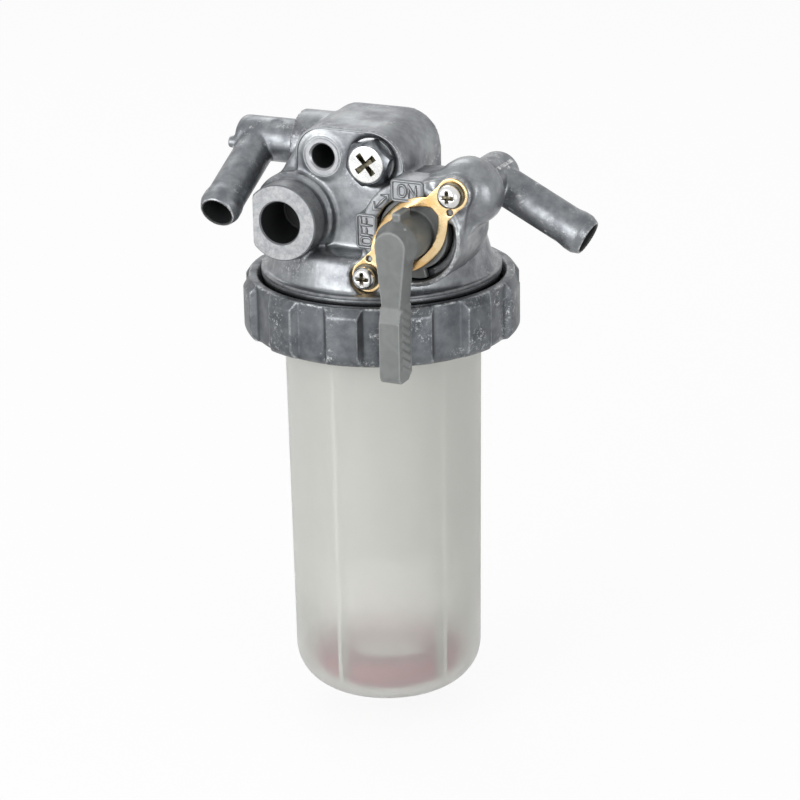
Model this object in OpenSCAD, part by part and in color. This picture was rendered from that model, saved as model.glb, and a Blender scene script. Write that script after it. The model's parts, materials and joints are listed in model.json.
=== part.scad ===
// Water separator for a fuel line: die-cast head with a shut-off cock, two hose elbows,
// a lugged ring nut and a clear bowl that holds the filter element and a float ring.
// Origin: centre of the bowl's flat bottom. +Z is up, the cock faces -Y. Millimetres.

/* [Bowl] */
// Height from the flat bottom to the top of the bowl's flange
bowl_h = 116; // [104:1:130]
// Outer radius of the bowl just under its flange
bowl_r = 28.4; // [26.5:0.1:31]
// Draft: how much smaller the outer radius is at the bottom corner
bowl_draft = 0.9; // [0:0.1:1.5]
// Wall thickness
bowl_wall = 2.4; // [1.6:0.1:2.8]
// Outer radius of the rounded bottom corner
bowl_corner_r = 11.9; // [9:0.1:14]
// Width of the flange outside the wall
bowl_flange_w = 3.6; // [3:0.1:4.5]
// Thickness of the flange
bowl_flange_t = 3.2; // [2:0.1:4]
// Number of guide ribs inside the bowl
rib_count = 5; // [3:1:8]
// Width of a guide rib
rib_w = 1.2; // [0.8:0.1:2]
// Direction of the first guide rib from +X, in degrees
rib_at = -98; // [-180:1:180]
// Thickness of the seal between the bowl and the head
seal_t = 2; // [1.2:0.1:3]

/* [Ring nut] */
// Height of the nut
nut_h = 17.85; // [16.5:0.05:20]
// Thickness of the lip that carries the bowl's flange
nut_lip_t = 3.5; // [2.5:0.1:4.5]
// Wall outside the thread, between the lugs
nut_wall = 4.2; // [3:0.1:5]
// Number of grip lugs
lug_count = 12; // [8:1:14]
// Height of a lug above the nut's wall
lug_h = 1.8; // [1:0.1:2.4]
// Angle that the outer face of a lug spans, in degrees
lug_span = 12.4; // [9:0.1:14]
// Direction of the first lug from +X, in degrees
lug_at = 8.5; // [0:0.5:29.5]
// How far the top of a lug falls towards its outer face
lug_drop = 2.6; // [1:0.1:4]
// Rounding of the nut's bottom edge
nut_foot_r = 3; // [1.5:0.1:3.4]

/* [Head] */
// Height of the head's rim above the top of the nut
rim_h = 2.1; // [1.6:0.1:3]
// Wall of the threaded skirt
skirt_wall = 5.4; // [4.4:0.1:6]
// Height of the round lower body above the rim
base_h = 9.5; // [8:0.1:11]
// Front face of the casting, ahead of the bowl's axis
front_d = 21; // [19.5:0.1:22]
// Depth of the upper block from its front face to its back
block_d = 25; // [22:0.1:30]
// Height of the block's top above the rim
block_h = 44.1; // [43:0.1:48]
// Rise of the block's top towards the back
block_draft = 1.2; // [0:0.1:2]
// Right side of the block from the bowl's axis
block_right = 17.4; // [16.6:0.1:18.5]
// Radius of the block's large top right corner
block_corner_r = 10.5; // [8:0.1:11]

/* [Ports] */
// Height of the small port and the bleed screw above the rim
port_h = 35.6; // [35:0.1:36.4]
// Distance of each from the bowl's axis, to the left and the right
port_x = 7.5; // [7.2:0.1:8]
// Radius of the small port
port_bore_r = 3.6; // [2.5:0.1:3.8]
// Radius of the machined ring round the small port
port_ring_r = 6.2; // [5.5:0.1:6.8]
// Large boss: its axis left of the bowl's axis
boss_x = 16.5; // [15:0.1:17.5]
// Large boss: its axis above the rim
boss_up = 18; // [17:0.1:19]
// Large boss: its face ahead of the casting's front face
boss_out = 10; // [8:0.1:12]
// Radius of the large boss
boss_r = 10.9; // [10:0.1:11.5]
// Radius of the large boss's bore
boss_bore_r = 6.15; // [5:0.05:7]
// Depth of the large boss's bore
boss_bore_l = 15; // [12:0.1:18]
// Flat on the left of the large boss, from its axis
boss_flat = 8.3; // [7.5:0.1:9.5]

/* [Elbows] */
// Radius of an elbow's round body
elbow_r = 6.35; // [6:0.05:7]
// Distance from the casting to the hose tube's axis
elbow_reach = 13.4; // [12.5:0.1:15]
// Length of body beyond the hose tube's axis
elbow_end = 6.3; // [6:0.1:7.5]
// Radius of the spigot pressed into the casting
spigot_r = 5; // [4.6:0.05:5.4]
// Depth of the spigot in the casting
spigot_l = 5.5; // [4.5:0.1:6]
// Outer radius of the hose tube
tube_r = 5.5; // [5:0.05:5.8]
// Radius of the bead at the hose tube's end
bead_r = 5.9; // [5.9:0.05:6.3]
// Bore of the hose tube
tube_bore_r = 4.25; // [3.5:0.05:4.4]
// Length of the hose tube from the elbow's axis
tube_l = 32.2; // [28:0.1:36]
// Angle of the hose tube below the horizontal, in degrees
tube_droop = 27; // [15:0.5:35]
// Radius of the left casting boss
left_boss_r = 9.6; // [8.5:0.1:10]
// Radius of the right casting boss
right_boss_r = 9.6; // [9:0.1:10.5]
// End face of the left casting boss, left of the bowl's axis
left_boss_x = 21.3; // [20:0.1:23]
// Height of the left elbow's axis above the rim
left_up = 34.4; // [34:0.1:35]
// Height of the right elbow's axis above the rim
right_up = 29.3; // [28.5:0.1:30]
// Right elbow's axis, right of the bowl's axis
right_x = 35.9; // [35.5:0.1:37]
// Back face of the right casting boss, ahead of the bowl's axis
right_boss_y = 16.4; // [15.5:0.1:17]

/* [Cock] */
// Cock axis, right of the bowl's axis
cock_x = 22.4; // [22:0.1:23]
// Cock axis above the rim
cock_up = 18.1; // [17.6:0.1:18.6]
// Seat of the spring plate, ahead of the bowl's axis
seat_d = 29; // [28.5:0.1:30]
// Radius of the round housing
housing_r = 14.8; // [14.6:0.1:15.5]
// Radius of the pocket for the lever's flange
pocket_r = 10.6; // [10.2:0.1:11]
// Depth of the pocket from the seat
pocket_d = 9.5; // [9:0.1:10]
// Radius of the side pocket for the stop tab
stop_pocket_r = 13.3; // [12.8:0.1:13.4]
// Half angle of the stop tab, in degrees
stop_half = 18; // [10:1:20]
// Thickness of the rubber packing
packing_t = 3; // [2:0.1:3.5]
// Radius of the lever's hub
hub_r = 6.3; // [5.6:0.1:6.5]
// Length of the lever from the cock axis to its tip
arm_l = 38.6; // [34:0.1:42]
// Width of the lever's grip
grip_w = 6.2; // [5:0.1:7]
// Depth of the lever's grip, front to back
grip_d = 8.3; // [7:0.1:9]
// Air between the lever's grip and the turning nut
arm_clear = 0.5; // [0.3:0.1:2]
// Distance from the cock axis to each plate screw
ear_at = 18.3; // [17.8:0.1:19]
// Radius of the plate's ears
ear_r = 4.6; // [4.4:0.1:5]
// Half width of the spring plate across its arms
plate_half = 9; // [8.7:0.1:9.6]
// Thickness of the spring plate
plate_t = 0.8; // [0.5:0.05:1]
// How far the plate's arms bow into the pocket
plate_bow = 2; // [1:0.1:2.4]

/* [Screws] */
// Thread radius of the plate screws
screw_r = 2; // [1.6:0.05:2.1]
// Head radius of the plate screws
screw_head_r = 3.25; // [3:0.05:3.6]
// Head height of the plate screws
screw_head_h = 2.6; // [1.8:0.1:2.6]
// Thread length of the plate screws
screw_l = 5.8; // [5:0.1:6]
// Thickness of the spring washers under them
spring_washer_t = 1; // [0.6:0.1:1.2]
// Thread radius of the bleed screw
bleed_r = 4; // [3.4:0.05:4.2]
// Thread length of the bleed screw
bleed_l = 9; // [7:0.1:10]
// Width across the flats of the bleed screw's head
bleed_af = 12; // [11:0.1:12.4]
// Height of the bleed screw's head
bleed_head_h = 4.2; // [3.5:0.1:5]
// Thickness of the bleed screw's sealing washer
bleed_washer_t = 1; // [0.6:0.1:1.2]

/* [Element] */
// Radius of the element's end caps
element_r = 21.5; // [19:0.1:21.9]
// Length of the element over its caps
element_l = 80; // [70:0.5:84]
// Number of pleats
pleat_count = 54; // [30:1:70]
// Radius of the element's centre tube
core_r = 11; // [9:0.1:12]
// Radius of the head's stem that carries the element
stem_r = 6; // [5:0.1:6.6]
// Outer radius of the float ring
float_r = 21.5; // [19:0.1:22]
// Inner radius of the float ring
float_hole_r = 14; // [12.5:0.1:16]
// Height of the float ring
float_h = 8; // [6:0.1:10]

/* [Hidden] */
$fn = 64;

// Clearances that several pieces share
touch_gap = 0.05;
run_gap = 0.08;
slide_gap = 0.4;
cut = 0.5;

// Heights, from the table up
nut_z = bowl_h - bowl_flange_t - nut_lip_t - touch_gap;
nut_top_z = nut_z + nut_h;
skirt_z = bowl_h + seal_t + touch_gap;
rim_z = nut_top_z + rim_h;
base_top_z = rim_z + base_h;
block_top_z = rim_z + block_h;
port_z = rim_z + port_h;
boss_z = rim_z + boss_up;
left_z = rim_z + left_up;
right_z = rim_z + right_up;
cock_z = rim_z + cock_up;

// Radii that follow the bowl
flange_r = bowl_r + bowl_flange_w;
thread_step = 2;
thread_r = flange_r + thread_step;
nut_body_r = thread_r + nut_wall;
nut_lug_r = nut_body_r + lug_h;
cavity_r = thread_r - skirt_wall;
rim_step = 1.6;
rim_over = 0.5;
rim_drop = 2.3;
base_foot_r = thread_r - rim_step;
base_taper = 1.9;
base_top_r = base_foot_r - base_taper;
base_shoulder_r = 3;

// Bowl: inside floor and corner
bowl_foot_r = bowl_r - bowl_draft;
floor_r = bowl_foot_r - bowl_corner_r;
inner_corner_r = bowl_corner_r - bowl_wall;
rib_edge_r = max(float_r, element_r) + slide_gap;
float_edge = 1.5;
float_z = bowl_corner_r + slide_gap
    - sqrt(pow(inner_corner_r, 2) - pow(max(0, float_r - float_edge - floor_r), 2));

// Head: depths along Y, all measured forward from the bowl's axis
front_y = -front_d;
back_y = front_y + block_d;
boss_y = front_y - boss_out;
seat_y = -seat_d;
pocket_y = seat_y + pocket_d;
wall_t = 3.6;
boss_step_r = boss_r + 1.5;
boss_step_l = 1.8;
corner_r = 8.6;
left_elbow_y = -5;
bleed_spot_d = 1;
bleed_seat_y = front_y + bleed_spot_d;
bleed_spot_r = 7.4;
bleed_hole_r = bleed_r + run_gap;
passage_r = 2.6;

// Cock: stack from the pocket's floor to the lever's front
flange_back_y = pocket_y - packing_t - touch_gap;
flange_front_y = seat_y + plate_bow + touch_gap;
lever_flange_r = pocket_r - slide_gap;
stop_tab_r = stop_pocket_r - slide_gap;
stop_play = 2;
stop_tab_t = 2;
stop_floor_y = flange_front_y + stop_tab_t + slide_gap;
screw_face_y = seat_y - plate_t - spring_washer_t - screw_head_h;
grip_side_x = cock_x - grip_w / 2;
nut_reach = sqrt(pow(nut_lug_r, 2) - pow(grip_side_x, 2));
arm_back_y = min(-nut_reach - arm_clear, screw_face_y - arm_clear);
grip_front_y = arm_back_y - grip_d;
neck_set = 1.3;
neck_front_y = grip_front_y + neck_set;
seal_cord_r = 0.8;
port_orbit_r = 4.55;
port_in_at = 180;
port_out_at = 40;
port_hole_r = 2.2;
ear_dir = 45;
plate_arc_r = 18;
plate_hole_r = 10.9;
plate_hole_arc_r = 14;
plate_hole_half = hub_r + 0.3;
plate_neck_half = ear_r - 0.2;
plate_neck_l = 8.5;
plate_flat_half = ear_r;

// Element: heights from the head down
cap_t = 2;
element_top_z = skirt_z + 6;
element_bottom_z = element_top_z - element_l;
grommet_r = 9;
grommet_h = 5;
stem_below = 1;

// Turns what is drawn along Z so that it points along -Y, X staying X and Y becoming Z
module facing_front(x, y, z) {
    translate([x, y, z]) rotate([90, 0, 0]) children();
}

// Cylinder along Y from y_back to y_front
module rod_y(x, z, r, y_back, y_front) {
    facing_front(x, y_back, z) cylinder(r = r, h = y_back - y_front);
}

// Cylinder from point a to point b
module rod(a, b, r) {
    d = b - a;
    translate(a)
        rotate([0, acos(d[2] / norm(d)), atan2(d[1], d[0])])
            cylinder(r = r, h = norm(d));
}

// Flat ring
module ring(r_out, r_in, h) {
    difference() {
        cylinder(r = r_out, h = h);
        translate([0, 0, -cut]) cylinder(r = r_in, h = h + 2 * cut);
    }
}

// Quarter arc as points, from one angle to another
function arc(cx, cy, r, a0, a1, n = 12) =
    [for (i = [0:n]) [cx + r * cos(a0 + (a1 - a0) * i / n), cy + r * sin(a0 + (a1 - a0) * i / n)]];

// Circular sector as a polygon, for cutting
function sector(r, a0, a1, n = 24) =
    concat([[0, 0]], [for (i = [0:n]) [r * cos(a0 + (a1 - a0) * i / n), r * sin(a0 + (a1 - a0) * i / n)]]);

// Overlap of two equal circles: a pointed oval, long along X
module oval(arc_r, half) {
    intersection() {
        translate([0, arc_r - half]) circle(r = arc_r, $fn = 96);
        translate([0, half - arc_r]) circle(r = arc_r, $fn = 96);
    }
}

// Bowl

// Bowl outline in section: outside up, flange, inside down
module bowl_section() {
    polygon(concat(
        [[0, 0], [floor_r, 0]],
        arc(floor_r, bowl_corner_r, bowl_corner_r, -90, 0),
        [[bowl_r, bowl_h - bowl_flange_t], [flange_r, bowl_h - bowl_flange_t],
            [flange_r, bowl_h], [bowl_r - bowl_wall, bowl_h]],
        arc(floor_r, bowl_corner_r, inner_corner_r, 0, -90),
        [[0, bowl_wall]]));
}

module bowl() color([0.86, 0.87, 0.84, 0.6]) {
    rotate_extrude($fn = 96) bowl_section();
    rib_foot_z = bowl_corner_r;
    rib_top_z = bowl_h - bowl_flange_t;
    intersection() {
        for (k = [0:rib_count - 1])
            rotate([0, 0, rib_at + k * 360 / rib_count])
                translate([rib_edge_r, -rib_w / 2, bowl_wall])
                    cube([bowl_r - rib_edge_r, rib_w, rib_top_z - bowl_wall]);
        rotate_extrude($fn = 96)
            polygon(concat(
                [[0, bowl_wall / 2]], [[floor_r, bowl_wall / 2]],
                arc(floor_r, rib_foot_z, inner_corner_r + bowl_wall / 2, -90, 0),
                [[bowl_r - bowl_wall / 2, rib_top_z], [0, rib_top_z]]));
    }
}

module bowl_seal() color([0.08, 0.08, 0.08]) {
    seal_edge = 0.5;
    translate([0, 0, bowl_h])
        ring(flange_r - seal_edge, bowl_r - bowl_wall + seal_edge, seal_t);
}

module float_ring() color([0.85, 0.3, 0.36]) {
    translate([0, 0, float_z]) rotate_extrude()
        polygon([[float_hole_r, 0], [float_r - float_edge, 0], [float_r, float_edge],
            [float_r, float_h - float_edge / 2], [float_r - float_edge / 2, float_h],
            [float_hole_r, float_h]]);
}

// Ring nut

// Nut wall in section, without lugs
module nut_section() {
    bore_step_z = skirt_z - cut;
    mouth_r = thread_r + 2;
    mouth_h = 2.2;
    polygon(concat(
        [[bowl_r + slide_gap, nut_z]],
        arc(nut_body_r - nut_foot_r, nut_z + nut_foot_r, nut_foot_r, -90, 0, 8),
        [[nut_body_r, nut_top_z], [mouth_r, nut_top_z], [thread_r + run_gap, nut_top_z - mouth_h],
            [thread_r + run_gap, bore_step_z], [flange_r + slide_gap, bore_step_z],
            [flange_r + slide_gap, nut_z + nut_lip_t], [bowl_r + slide_gap, nut_z + nut_lip_t]]));
}

// Envelope of the lugs: sloping top, rounded foot
mouth_below = 2;

module lug_section() {
    polygon(concat(
        [[thread_r + 1, nut_z + nut_foot_r]],
        [[nut_body_r - nut_foot_r / 2, nut_z + nut_foot_r / 4]],
        arc(nut_lug_r - nut_foot_r - 1, nut_z + nut_foot_r + 1, nut_foot_r + 1, -50, 0, 6),
        [[nut_lug_r, nut_top_z - lug_drop], [nut_body_r, nut_top_z], [nut_body_r - 1, nut_top_z],
            [nut_body_r - 1, nut_top_z - mouth_below]]));
}
// One lug seen from above: slanted sides that meet the wall
module lug_plan() {
    half_out = nut_lug_r * sin(lug_span / 2);
    side_run = 0.6 * lug_h;
    polygon([[thread_r, half_out + side_run], [nut_body_r, half_out + side_run],
        [nut_lug_r + 1, half_out - side_run / 2], [nut_lug_r + 1, -half_out + side_run / 2],
        [nut_body_r, -half_out - side_run], [thread_r, -half_out - side_run]]);
}

module ring_nut() color([0.42, 0.45, 0.48]) {
    rotate_extrude($fn = 96) nut_section();
    intersection() {
        rotate_extrude($fn = 96) lug_section();
        translate([0, 0, nut_z]) linear_extrude(nut_h)
            for (k = [0:lug_count - 1])
                rotate(lug_at + k * 360 / lug_count) lug_plan();
    }
}

// Head

// Outline of the upper block seen from the front, from its foot up
module block_outline(rise) {
    top = block_top_z + rise;
    foot_z = base_top_z - wall_t;
    polygon(concat(
        [[block_right, foot_z]],
        arc(block_right - block_corner_r, top - block_corner_r, block_corner_r, 0, 90),
        arc(-port_x, top - corner_r, corner_r, 90, 180),
        [[-port_x - corner_r, foot_z]]));
}

// Upper block: its top rises a little towards the back
module block() {
    hull() {
        facing_front(0, front_y + 1, 0) linear_extrude(1) block_outline(0);
        facing_front(0, back_y, 0) linear_extrude(1) block_outline(block_draft);
    }
}

// Round lower body between the rim and the block
module lower_body() {
    rotate_extrude($fn = 96) polygon(concat(
        [[0, rim_z - wall_t], [base_foot_r, rim_z - wall_t], [base_foot_r, rim_z]],
        arc(base_top_r - base_shoulder_r, base_top_z - base_shoulder_r, base_shoulder_r, 15, 90, 8),
        [[0, base_top_z + 1]]));
    translate([0, 0, skirt_z]) cylinder(r = thread_r, h = rim_z - skirt_z - 0.5, $fn = 96);
    rim_edge = 0.4;
    translate([0, 0, rim_z - rim_drop]) rotate_extrude($fn = 96)
        polygon([[0, 0], [thread_r + rim_over, 0], [thread_r + rim_over, rim_drop - rim_edge],
            [thread_r + rim_over - rim_edge, rim_drop], [0, rim_drop]]);
}

// Large boss with its wider step and the web up to the left elbow's boss
module big_boss() {
    intersection() {
        rod_y(-boss_x, boss_z, boss_r, 0, boss_y);
        translate([-boss_x - boss_flat, boss_y - 1, boss_z - boss_r - 1])
            cube([boss_flat + boss_r + 1, -boss_y + 1, 2 * boss_r + 2]);
    }
    rod_y(-boss_x, boss_z, boss_step_r, left_elbow_y, front_y - boss_step_l);
    web_r = boss_r - 0.7;
    hull() {
        rod_y(-boss_x, boss_z, web_r, left_elbow_y, front_y + 1);
        rod_y(-boss_x + web_r / 2, left_z - 2, left_boss_r - 2, left_elbow_y, front_y + wall_t);
    }
}

// Casting boss for the left elbow
module left_boss() {
    rod([0, left_elbow_y, left_z], [-left_boss_x, left_elbow_y, left_z], left_boss_r);
}

// Casting boss for the right elbow, with a rounded front, and its webs
module right_boss() {
    nose = 6;
    boss_front_y = seat_y + 3;
    facing_front(right_x, -right_boss_y, right_z) rotate_extrude()
        polygon(concat([[0, 0], [right_boss_r, 0]],
            arc(right_boss_r - nose, -boss_front_y - right_boss_y - nose, nose, 0, 90, 8),
            [[0, -boss_front_y - right_boss_y]]));
    hull() {
        rod_y(right_x, right_z, right_boss_r - 1.4, -right_boss_y, seat_y + 5);
        rod_y(block_right + 1, right_z - 3.5, 5, -right_boss_y + 2, front_y + 0.5);
        rod_y(cock_x + 3, cock_z + 2, housing_r - 4, -right_boss_y + 6, seat_y + 5);
    }
}

// Round housing of the cock with its two screw bosses and the label pads
module cock_housing() {
    housing_back_y = -8;
    rod_y(cock_x, cock_z, housing_r, housing_back_y, seat_y);
    for (side = [-1, 1])
        rod_y(cock_x + side * ear_at * cos(ear_dir), cock_z + side * ear_at * sin(ear_dir),
            ear_r + 0.5, front_y + 3, seat_y);
    hull() {
        rod_y(cock_x, cock_z, housing_r - 1, front_y, seat_y + 1);
        rod_y(cock_x + ear_at * cos(ear_dir), cock_z + ear_at * sin(ear_dir), ear_r,
            front_y, seat_y + 1);
    }
    hull() {
        rod_y(cock_x, cock_z, housing_r - 3, front_y, seat_y + 1);
        rod_y(cock_x - ear_at * cos(ear_dir), cock_z - ear_at * sin(ear_dir), ear_r,
            front_y, seat_y + 1);
    }
    label_pad(cock_x + label_on_x, cock_z + label_at, label_l, label_w);
    label_pad(cock_x - label_at, cock_z + label_off_z, label_w, label_l);
}

// Labels: pads for ON and OFF, the arrow between them
label_l = 9.2;
label_w = 6;
label_at = 12.2;
arrow_at = 12.9;
label_on_x = 0.6;
label_off_z = -0.4;
label_raise = 0.5;
label_line = 0.55;

module label_pad(x, z, w, h) {
    facing_front(x, front_y + 1, z)
        translate([-w / 2, -h / 2, 0]) cube([w, h, front_y + 1 - seat_y]);
}

// Raised frame round a label
module label_frame(w, h) {
    linear_extrude(label_raise) difference() {
        square([w, h], center = true);
        square([w - 2 * label_line, h - 2 * label_line], center = true);
    }
}

// Letters of the labels, drawn with straight strokes and a ring
letter_h = 3.6;
letter_w = 2.4;
stroke = 0.55;

module letter_o() {
    difference() {
        hull_free_oval(letter_w, letter_h);
        hull_free_oval(letter_w - 2 * stroke, letter_h - 2 * stroke);
    }
}

// Upright oval made of two circles and a square
module hull_free_oval(w, h) {
    for (side = [-1, 1])
        translate([0, side * (h - w) / 2]) circle(d = w, $fn = 32);
    square([w, h - w], center = true);
}

module letter_n() {
    for (side = [-1, 1])
        translate([side * (letter_w - stroke) / 2, 0]) square([stroke, letter_h], center = true);
    polygon([[-letter_w / 2, letter_h / 2], [-letter_w / 2 + stroke, letter_h / 2],
        [letter_w / 2, -letter_h / 2], [letter_w / 2 - stroke, -letter_h / 2]]);
}

module letter_f() {
    translate([-(letter_w - stroke) / 2, 0]) square([stroke, letter_h], center = true);
    translate([0, (letter_h - stroke) / 2]) square([letter_w, stroke], center = true);
    translate([-stroke / 2, 0]) square([letter_w - stroke, stroke], center = true);
}

// Double-headed arrow along X
module arrow() {
    arrow_l = 5.6;
    head_l = 1.8;
    head_w = 1.8;
    square([arrow_l - 2 * head_l + 0.2, stroke * 1.6], center = true);
    for (side = [-1, 1])
        polygon([[side * arrow_l / 2, 0], [side * (arrow_l / 2 - head_l), head_w / 2],
            [side * (arrow_l / 2 - head_l), -head_w / 2]]);
}

module labels() {
    letter_step = letter_w + 0.8;
    facing_front(cock_x, seat_y, cock_z) rotate([0, 0, 90 + ear_dir])
        translate([arrow_at, 0, 0]) rotate([0, 0, 90]) linear_extrude(label_raise) arrow();
    facing_front(cock_x + label_on_x, seat_y, cock_z + label_at) {
        label_frame(label_l, label_w);
        linear_extrude(label_raise) {
            translate([-letter_step / 2, 0]) letter_o();
            translate([letter_step / 2, 0]) letter_n();
        }
    }
    facing_front(cock_x - label_at, seat_y, cock_z + label_off_z) rotate(90) {
        label_frame(label_l, label_w);
        linear_extrude(label_raise) {
            translate([-letter_step * 0.85, 0]) letter_o();
            letter_step_f = letter_step * 0.95;
            translate([letter_step_f * 0.15, 0]) letter_f();
            translate([letter_step_f * 1.1, 0]) letter_f();
        }
    }
}

// Cavity over the bowl with the stem that carries the element
module head_cavity() {
    ceiling_r = cavity_r - 6;
    ceiling_z = rim_z + base_h / 2;
    difference() {
        translate([0, 0, skirt_z - cut]) rotate_extrude($fn = 96)
            polygon([[0, 0], [cavity_r, 0], [cavity_r, rim_z - skirt_z], [ceiling_r, ceiling_z - skirt_z],
                [0, ceiling_z - skirt_z]]);
        translate([0, 0, skirt_z - stem_below]) cylinder(r = stem_r, h = ceiling_z);
        boss_wall = boss_step_r + wall_t;
        translate([0, 0, 0]) intersection() {
            rod_y(-boss_x, boss_z, boss_wall, 0, boss_y);
            translate([0, 0, rim_z]) cylinder(r = cavity_r, h = base_h);
        }
    }
}

// Fuel ways: inlet down to the cavity, stem up to the cock, cock out to the right elbow
module passages() {
    inlet_x = -left_boss_x + spigot_l;
    drop_x = -left_boss_x + spigot_l + 5;
    rod([inlet_x - cut, left_elbow_y, left_z], [drop_x, left_elbow_y, left_z], passage_r);
    rod([drop_x, left_elbow_y, left_z + 1], [drop_x, left_elbow_y, rim_z], passage_r);
    stem_top_z = cock_z;
    rod([0, 0, skirt_z - stem_below - cut], [0, 0, stem_top_z], stem_r - 2.4);
    in_x = cock_x + port_orbit_r * cos(port_in_at);
    in_z = cock_z + port_orbit_r * sin(port_in_at);
    rod([in_x, pocket_y - cut, in_z], [0, 0, stem_top_z - 2], port_hole_r);
    out_x = cock_x + port_orbit_r * cos(port_out_at);
    out_z = cock_z + port_orbit_r * sin(port_out_at);
    rod_y(out_x, out_z, port_hole_r, pocket_y + 4, pocket_y - cut);
    rod([out_x, pocket_y + 3, out_z], [right_x, -right_boss_y - spigot_l + 1, right_z], port_hole_r);
}

// Pocket of the cock: round for the flange, wider where the stop tab travels
module cock_pocket() {
    rod_y(cock_x, cock_z, pocket_r, pocket_y, seat_y - 1);
    facing_front(cock_x, stop_floor_y, cock_z) linear_extrude(stop_floor_y - seat_y + 1)
        intersection() {
            circle(r = stop_pocket_r);
            polygon(sector(stop_pocket_r * 2, -90 - stop_half - stop_play, stop_half + stop_play));
        }
}

module head() color([0.62, 0.63, 0.64]) {
    difference() {
        union() {
            lower_body();
            block();
            big_boss();
            left_boss();
            right_boss();
            cock_housing();
            port_ring_l = 0.5;
            rod_y(-port_x, port_z, port_ring_r, front_y + 1, front_y - port_ring_l);
            labels();
        }
        head_cavity();
        passages();
        cock_pocket();
        rod_y(-boss_x, boss_z, boss_bore_r, boss_y + boss_bore_l, boss_y - cut);
        port_l = 12;
        rod_y(-port_x, port_z, port_bore_r, front_y + port_l, front_y - 1);
        chamfer_l = 0.9;
        facing_front(-port_x, front_y - 0.5 + chamfer_l, port_z)
            cylinder(r1 = port_bore_r, r2 = port_bore_r + chamfer_l, h = chamfer_l + 0.01);
        rod_y(port_x, port_z, bleed_hole_r, bleed_seat_y + bleed_l + 2, front_y - 1);
        rod_y(port_x, port_z, bleed_spot_r, bleed_seat_y, seat_y - 1);
        rod([-left_boss_x + spigot_l + 0.2, left_elbow_y, left_z],
            [-left_boss_x - cut, left_elbow_y, left_z], spigot_r);
        rod_y(right_x, right_z, spigot_r, -right_boss_y + cut, -right_boss_y - spigot_l - 0.2);
        for (side = [-1, 1])
            rod_y(cock_x + side * ear_at * cos(ear_dir), cock_z + side * ear_at * sin(ear_dir),
                screw_r + touch_gap, seat_y - plate_t - spring_washer_t + screw_l + 0.6, seat_y - 1);
        plate_room();
    }
}

// Room in front of the seat for the spring plate and its screw heads
module plate_room() {
    room = 0.4;
    facing_front(cock_x, seat_y, cock_z) rotate([0, 0, ear_dir]) linear_extrude(6) {
        oval(plate_arc_r + room, plate_half + room);
        for (side = [-1, 1]) {
            translate([side * ear_at, 0]) circle(r = ear_r + room);
            translate([side * (ear_at - plate_neck_l / 2), 0])
                square([plate_neck_l, 2 * (plate_neck_half + room)], center = true);
        }
    }
    bow_room = plate_bow / 2;
    facing_front(cock_x, seat_y + bow_room, cock_z) rotate([0, 0, ear_dir]) linear_extrude(bow_room + 1)
        difference() {
            oval(plate_arc_r + room, plate_half + room);
            square([2 * ear_at, 2 * plate_flat_half], center = true);
        }
}

// Elbows

// One elbow: body along +Z from the casting's face at z = 0, hose tube along +X
module elbow() {
    tube_z = elbow_reach;
    end_r = 2;
    bead_l = 2.2;
    lug_r = 1.7;
    difference() {
        union() {
            rotate_extrude() polygon(concat(
                [[0, -spigot_l], [spigot_r - 0.4, -spigot_l], [spigot_r, -spigot_l + 0.6], [spigot_r, 0],
                    [elbow_r, 0]],
                arc(elbow_r - end_r, tube_z + elbow_end - end_r, end_r, 0, 90, 8),
                [[0, tube_z + elbow_end]]));
            translate([0, 0, tube_z]) rotate([0, 90, 0]) rotate_extrude() polygon(concat(
                [[0, 0], [tube_r, 0], [tube_r, tube_l - 3 * bead_l], [bead_r, tube_l - 2 * bead_l],
                    [bead_r, tube_l - bead_l]],
                [[tube_r - 0.5, tube_l], [0, tube_l]]));
            translate([elbow_r - 1.6, 1.8, tube_z + elbow_end - 2.2]) cylinder(r = lug_r, h = 3.6);
        }
        translate([0, 0, tube_z]) rotate([0, 90, 0]) cylinder(r = tube_bore_r, h = tube_l + 1);
        translate([0, 0, -spigot_l - 1]) cylinder(r = spigot_r - 1.4, h = spigot_l + 1 + tube_z);
        translate([0, elbow_r + 1 - 0.35, tube_z - 6.2]) rotate([90, 0, 0]) cylinder(r = 2, h = 1);
    }
}

module inlet_elbow() color([0.45, 0.48, 0.5]) {
    translate([-left_boss_x, left_elbow_y, left_z])
        multmatrix(elbow_frame([-1, 0, 0], [0, -cos(tube_droop), -sin(tube_droop)])) elbow();
}

module outlet_elbow() color([0.45, 0.48, 0.5]) {
    translate([right_x, -right_boss_y, right_z])
        multmatrix(elbow_frame([0, 1, 0], [cos(tube_droop), 0, -sin(tube_droop)])) elbow();
}

// Turns +Z to the body direction and +X to the hose tube's direction
function elbow_frame(body, tube) =
    let (side = cross(body, tube))
        [[tube[0], side[0], body[0], 0], [tube[1], side[1], body[1], 0], [tube[2], side[2], body[2], 0],
            [0, 0, 0, 1]];

// Cock

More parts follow.
